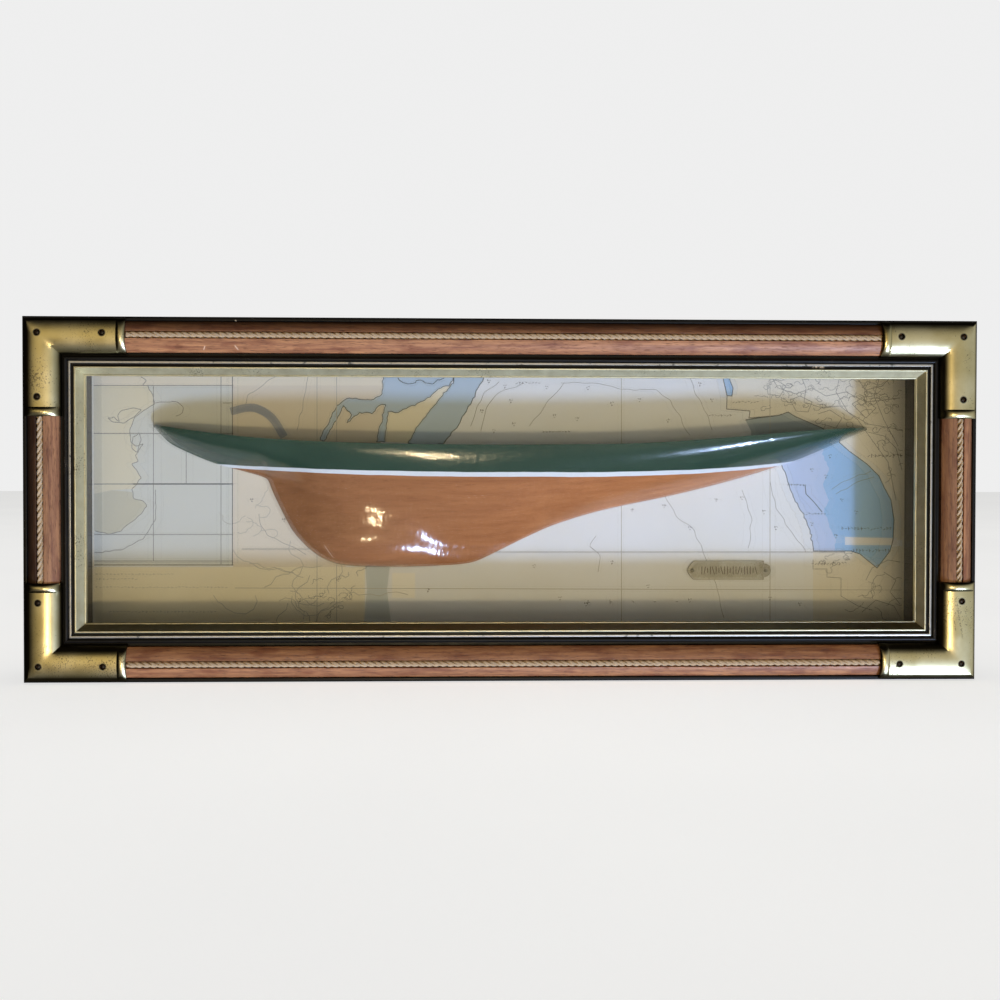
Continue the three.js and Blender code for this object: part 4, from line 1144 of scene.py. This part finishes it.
def carved_hull(name):
    """Rings across the boat: up the flat back, over the deck and down the side to the keel, closer
    together where the sternpost turns. The map gives each place its distance along the boat and
    its height above the stripe's lower edge, as a share of the stripe's width."""
    runs = [(-223, -214, 16), (-214, -158, 40), (-158, -100, 110), (-100, -8, 80), (-8, 208, 110), (208, 224.5, 24)]
    x = np.concatenate([np.linspace(a, b, n, endpoint=False) for a, b, n in runs] + [[HULL_FORE]])[:, None]
    levels = 72
    share = np.sin(np.linspace(0, 1, levels + 1) * math.pi / 2)[None, :]
    sheer = sheer_height(x)
    height = sheer - (sheer - profile_height(x)) * share
    breadth = hull_half_width(x, height)
    breadth[:, -1] = 0
    height = np.concatenate([sheer, height], axis=1)
    breadth = np.concatenate([np.zeros_like(sheer), breadth], axis=1)
    place = np.broadcast_arrays(HULL_MIDDLE + x, FRONT + HULL_BACK - breadth, WATERLINE + height)
    stripe_aft = -0.9 + 4.2 * (np.clip(-x, 0, None) / 158.8) ** 2.2
    stripe_fore = -0.9 + 6.9 * (np.clip(x, 0, None) / 167) ** 3
    stripe = np.where(x < 0, stripe_aft, stripe_fore)
    stripe_width = 2.8 - 1.0 * np.clip(np.abs(x) / 170, 0, 1) ** 3
    lay = np.stack(np.broadcast_arrays(x * MM, (height - stripe) / stripe_width), axis=-1)
    return surface(name, np.stack(place, axis=-1) * MM, lay, wrap=True, fill=True, sharp=50)


hull = carved_hull("carved_hull")
hull_finish, tree, shader = new_finish("gloss_hull", Specular_IOR_Level=0.25, Coat_Weight=0.45, Coat_Roughness=0.025)
place = object_place(tree)
lay = add_node(tree, "ShaderNodeSeparateXYZ", {0: add_node(tree, "ShaderNodeUVMap", uv_map="lay").outputs[0]})
hand = ramp(tree, noise(tree, place, 60.0, 3.0), 0.3, 0.7, -0.06, 0.06)
from_stripe = reckon(tree, "ADD", lay.outputs["Y"], hand)
above = ramp(tree, from_stripe, 0.97, 1.03)
below = ramp(tree, from_stripe, -0.03, 0.03, 1.0, 0.0)
figure, pore = wood_grain(tree, place, 260.0, 1700.0)
dark_wood = blend(tree, figure, shade(132, 91, 62), shade(151, 106, 73))
light_wood = blend(tree, figure, shade(160, 103, 65), shade(183, 122, 79))
along = add_node(tree, "ShaderNodeSeparateXYZ", {0: place}).outputs["X"]
wood = blend(tree, ramp(tree, along, -0.15, 0.06), dark_wood, light_wood)
wood = blend(tree, reckon(tree, "MULTIPLY", pore, 0.35), wood, shade(96, 58, 36))
green = blend(tree, noise(tree, place, 30.0, 4.0), shade(40, 62, 51), shade(52, 76, 64))
paint = blend(tree, above, shade(212, 219, 226), green)
colour = blend(tree, below, paint, wood)
colour = blend(tree, scratch(tree, place, (-110.0, 78.4), (-104.4, 69.8), 0.7), colour, shade(206, 172, 146))
brushed = noise(tree, stretched(tree, place, (1.0, 1.0, 0.4)), 400.0, 3.0)
pebbled = noise(tree, stretched(tree, place, (0.7, 1.0, 1.0)), 400.0, 3.0)
relief = bump(tree, blend(tree, above, brushed, pebbled), ramp(tree, above, 0.0, 1.0, 0.00026, 0.00016), 0.75)
connect(tree, shader, Base_Color=colour, Roughness=ramp(tree, brushed, 0.3, 0.7, 0.13, 0.19),
        Normal=relief, Coat_Normal=relief)
hull.data.materials.append(hull_finish)
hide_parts("half_hull")


# Name plate: thin dull brass with a pointed ear and a rounded one, on two small pins. Where words
# were, it has one row of shallow strokes.
PLATE_BACK = 49.7
PLATE_THICKNESS = 0.8
PLATE_X = 143.0
PLATE_Z = 61.1
pointed_ear = [(-22.4, 6.0), (-24.1, 4.4), (-25.6, 2.2), (-26.5, 0.0), (-25.6, -2.2), (-24.1, -4.4), (-22.4, -6.0)]
rounded_ear = arc((22.5, 0.0), (4.2, 4.3), -90, 90, 12).tolist()
plate_outline = np.array([*pointed_ear, (22.2, -6.0), (22.4, -4.8), *rounded_ear, (22.4, 4.8), (22.2, 6.0)])


def thin_plate(name, outline, front, back):
    """A flat plate with a small bevel round its face: the outline drawn in by the bevel, the
    outline itself, and the outline at the back."""
    inward = outline - outline.mean(axis=0)
    inward = 0.28 * inward / np.hypot(*inward.T)[:, None]
    rings = [(outline - inward, front), (outline, front + 0.22), (outline, back)]
    grid = np.stack([
        np.stack([PLATE_X + ring[:, 0], np.full(len(ring), FRONT + depth), PLATE_Z + ring[:, 1]], axis=1)
        for ring, depth in rings
    ])
    return surface(name, grid * MM, wrap=True, fill=True, sharp=25)


plate = thin_plate("engraved_plate", plate_outline, PLATE_BACK - PLATE_THICKNESS, PLATE_BACK)
plate_finish, tree, shader = new_finish("dull_plate_brass", Metallic=0.9)
place = object_place(tree)
cloud = noise(tree, place, 120.0, 4.0)
tarnish = scuff_mask(tree, place, 900.0, 0.8)
sheet = blend(tree, ramp(tree, cloud, 0.3, 0.7), shade(144, 141, 126), shade(170, 168, 156))
connect(tree, shader, Base_Color=blend(tree, reckon(tree, "MULTIPLY", tarnish, 0.6), sheet, shade(96, 80, 48)),
        Roughness=ramp(tree, cloud, 0.3, 0.7, 0.42, 0.55),
        Normal=bump(tree, noise(tree, place, 1400.0, 3.0), 0.00004, 0.5))
stroke_finish, tree, shader = new_finish("stroke_fill", Roughness=0.6)
filled = noise(tree, object_place(tree), 1600.0, 3.0)
connect(tree, shader, Base_Color=blend(tree, filled, shade(58, 44, 28), shade(84, 66, 42)))
plate.data.materials.append(plate_finish)
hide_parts("name_plate")


def stroke_row(name):
    """Short upright and slanting strokes in a row, each a thin raised bar: four corners at the
    front and four on the plate."""
    draw = np.random.default_rng(5)
    count = 20
    centre = np.linspace(-17.2, 17.2, count)
    lean_out = np.where(np.arange(count) % 3 == 1, draw.uniform(-0.8, 0.8, count), 0.0)
    tall = np.where(np.arange(count) % 4 == 2, 1.6, 2.5)
    corners = np.array([(-1, -1), (1, -1), (1, 1), (-1, 1)], float)
    x = PLATE_X + centre[:, None] + 0.24 * corners[:, 0] + lean_out[:, None] * corners[:, 1]
    z = PLATE_Z + tall[:, None] * corners[:, 1]
    face = PLATE_BACK - PLATE_THICKNESS
    grid = np.stack([
        np.stack([x, np.full_like(x, FRONT + depth), z], axis=-1) for depth in (face - 0.05, face + 0.05)
    ], axis=1)
    vertices = grid.reshape(-1, 3) * MM
    box_faces = np.array([(0, 1, 2, 3), (7, 6, 5, 4), (0, 4, 5, 1), (1, 5, 6, 2), (2, 6, 7, 3), (3, 7, 4, 0)])
    faces = (box_faces[None] + 8 * np.arange(count)[:, None, None]).reshape(-1, 4)
    mesh = bpy.data.meshes.new(name)
    mesh.from_pydata(vertices.tolist(), [], faces.tolist())
    return add_piece(name, mesh)


strokes = stroke_row("plate_strokes")
strokes.data.materials.append(stroke_finish)

pin_profile = [(0.05, 48.0), (0.6, 48.08), (1.0, 48.3), (1.2, 48.55), (1.2, 48.6), (0.6, 48.62), (0.6, 52.5), (0.05, 53.0)]
for pin_side, offset in (("left", -23.3), ("right", 23.3)):
    profile = [(radius, FRONT + depth) for radius, depth in pin_profile]
    pin = turned_shape(f"brass_pin_{pin_side}", (PLATE_X + offset, PLATE_Z), profile)
    pin.data.materials.append(plate_finish)
    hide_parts(f"plate_pin_{pin_side}")


# Sawtooth hanger: a plated steel strip with teeth along its lower edge, sunk in the back of the
# top rail and held by two round-headed nails.
HANGER_ACROSS = 12.2
POCKET_BACK = 55.5
WELL_BACK = 52.5


def block(name, low, high):
    """A plain box between two corners, for cutting with."""
    mesh = bpy.data.meshes.new(name)
    x, y, z = np.array([low, high]).T * MM
    vertices = [(a, b, c) for a in x for b in y for c in z]
    mesh.from_pydata(vertices, [], [(0, 1, 3, 2), (4, 6, 7, 5), (0, 4, 5, 1), (2, 3, 7, 6), (0, 2, 6, 4), (1, 5, 7, 3)])
    return add_piece(name, mesh)


hanger_height = HEIGHT - HANGER_ACROSS
pocket = block("pocket", (-24, FRONT + POCKET_BACK, hanger_height - 4.75), (24, FRONT + 60, hanger_height + 4.75))
well = block("well", (-15, FRONT + WELL_BACK, hanger_height - 4.75), (15, FRONT + 60, hanger_height + 4.75))
cut_out(bpy.data.objects["black_rail_top"], [pocket, well])

steel_finish, tree, shader = new_finish("plated_steel", Metallic=1.0)
place = object_place(tree)
dull = noise(tree, place, 300.0, 4.0)
connect(tree, shader, Base_Color=blend(tree, dull, shade(150, 144, 128), shade(186, 180, 164)),
        Roughness=ramp(tree, dull, 0.3, 0.7, 0.35, 0.55))
for node_name in ("sawtooth_hanger", "hanger_nail_left", "hanger_nail_right"):
    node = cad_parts[node_name]
    node.data.materials.clear()
    node.data.materials.append(steel_finish)
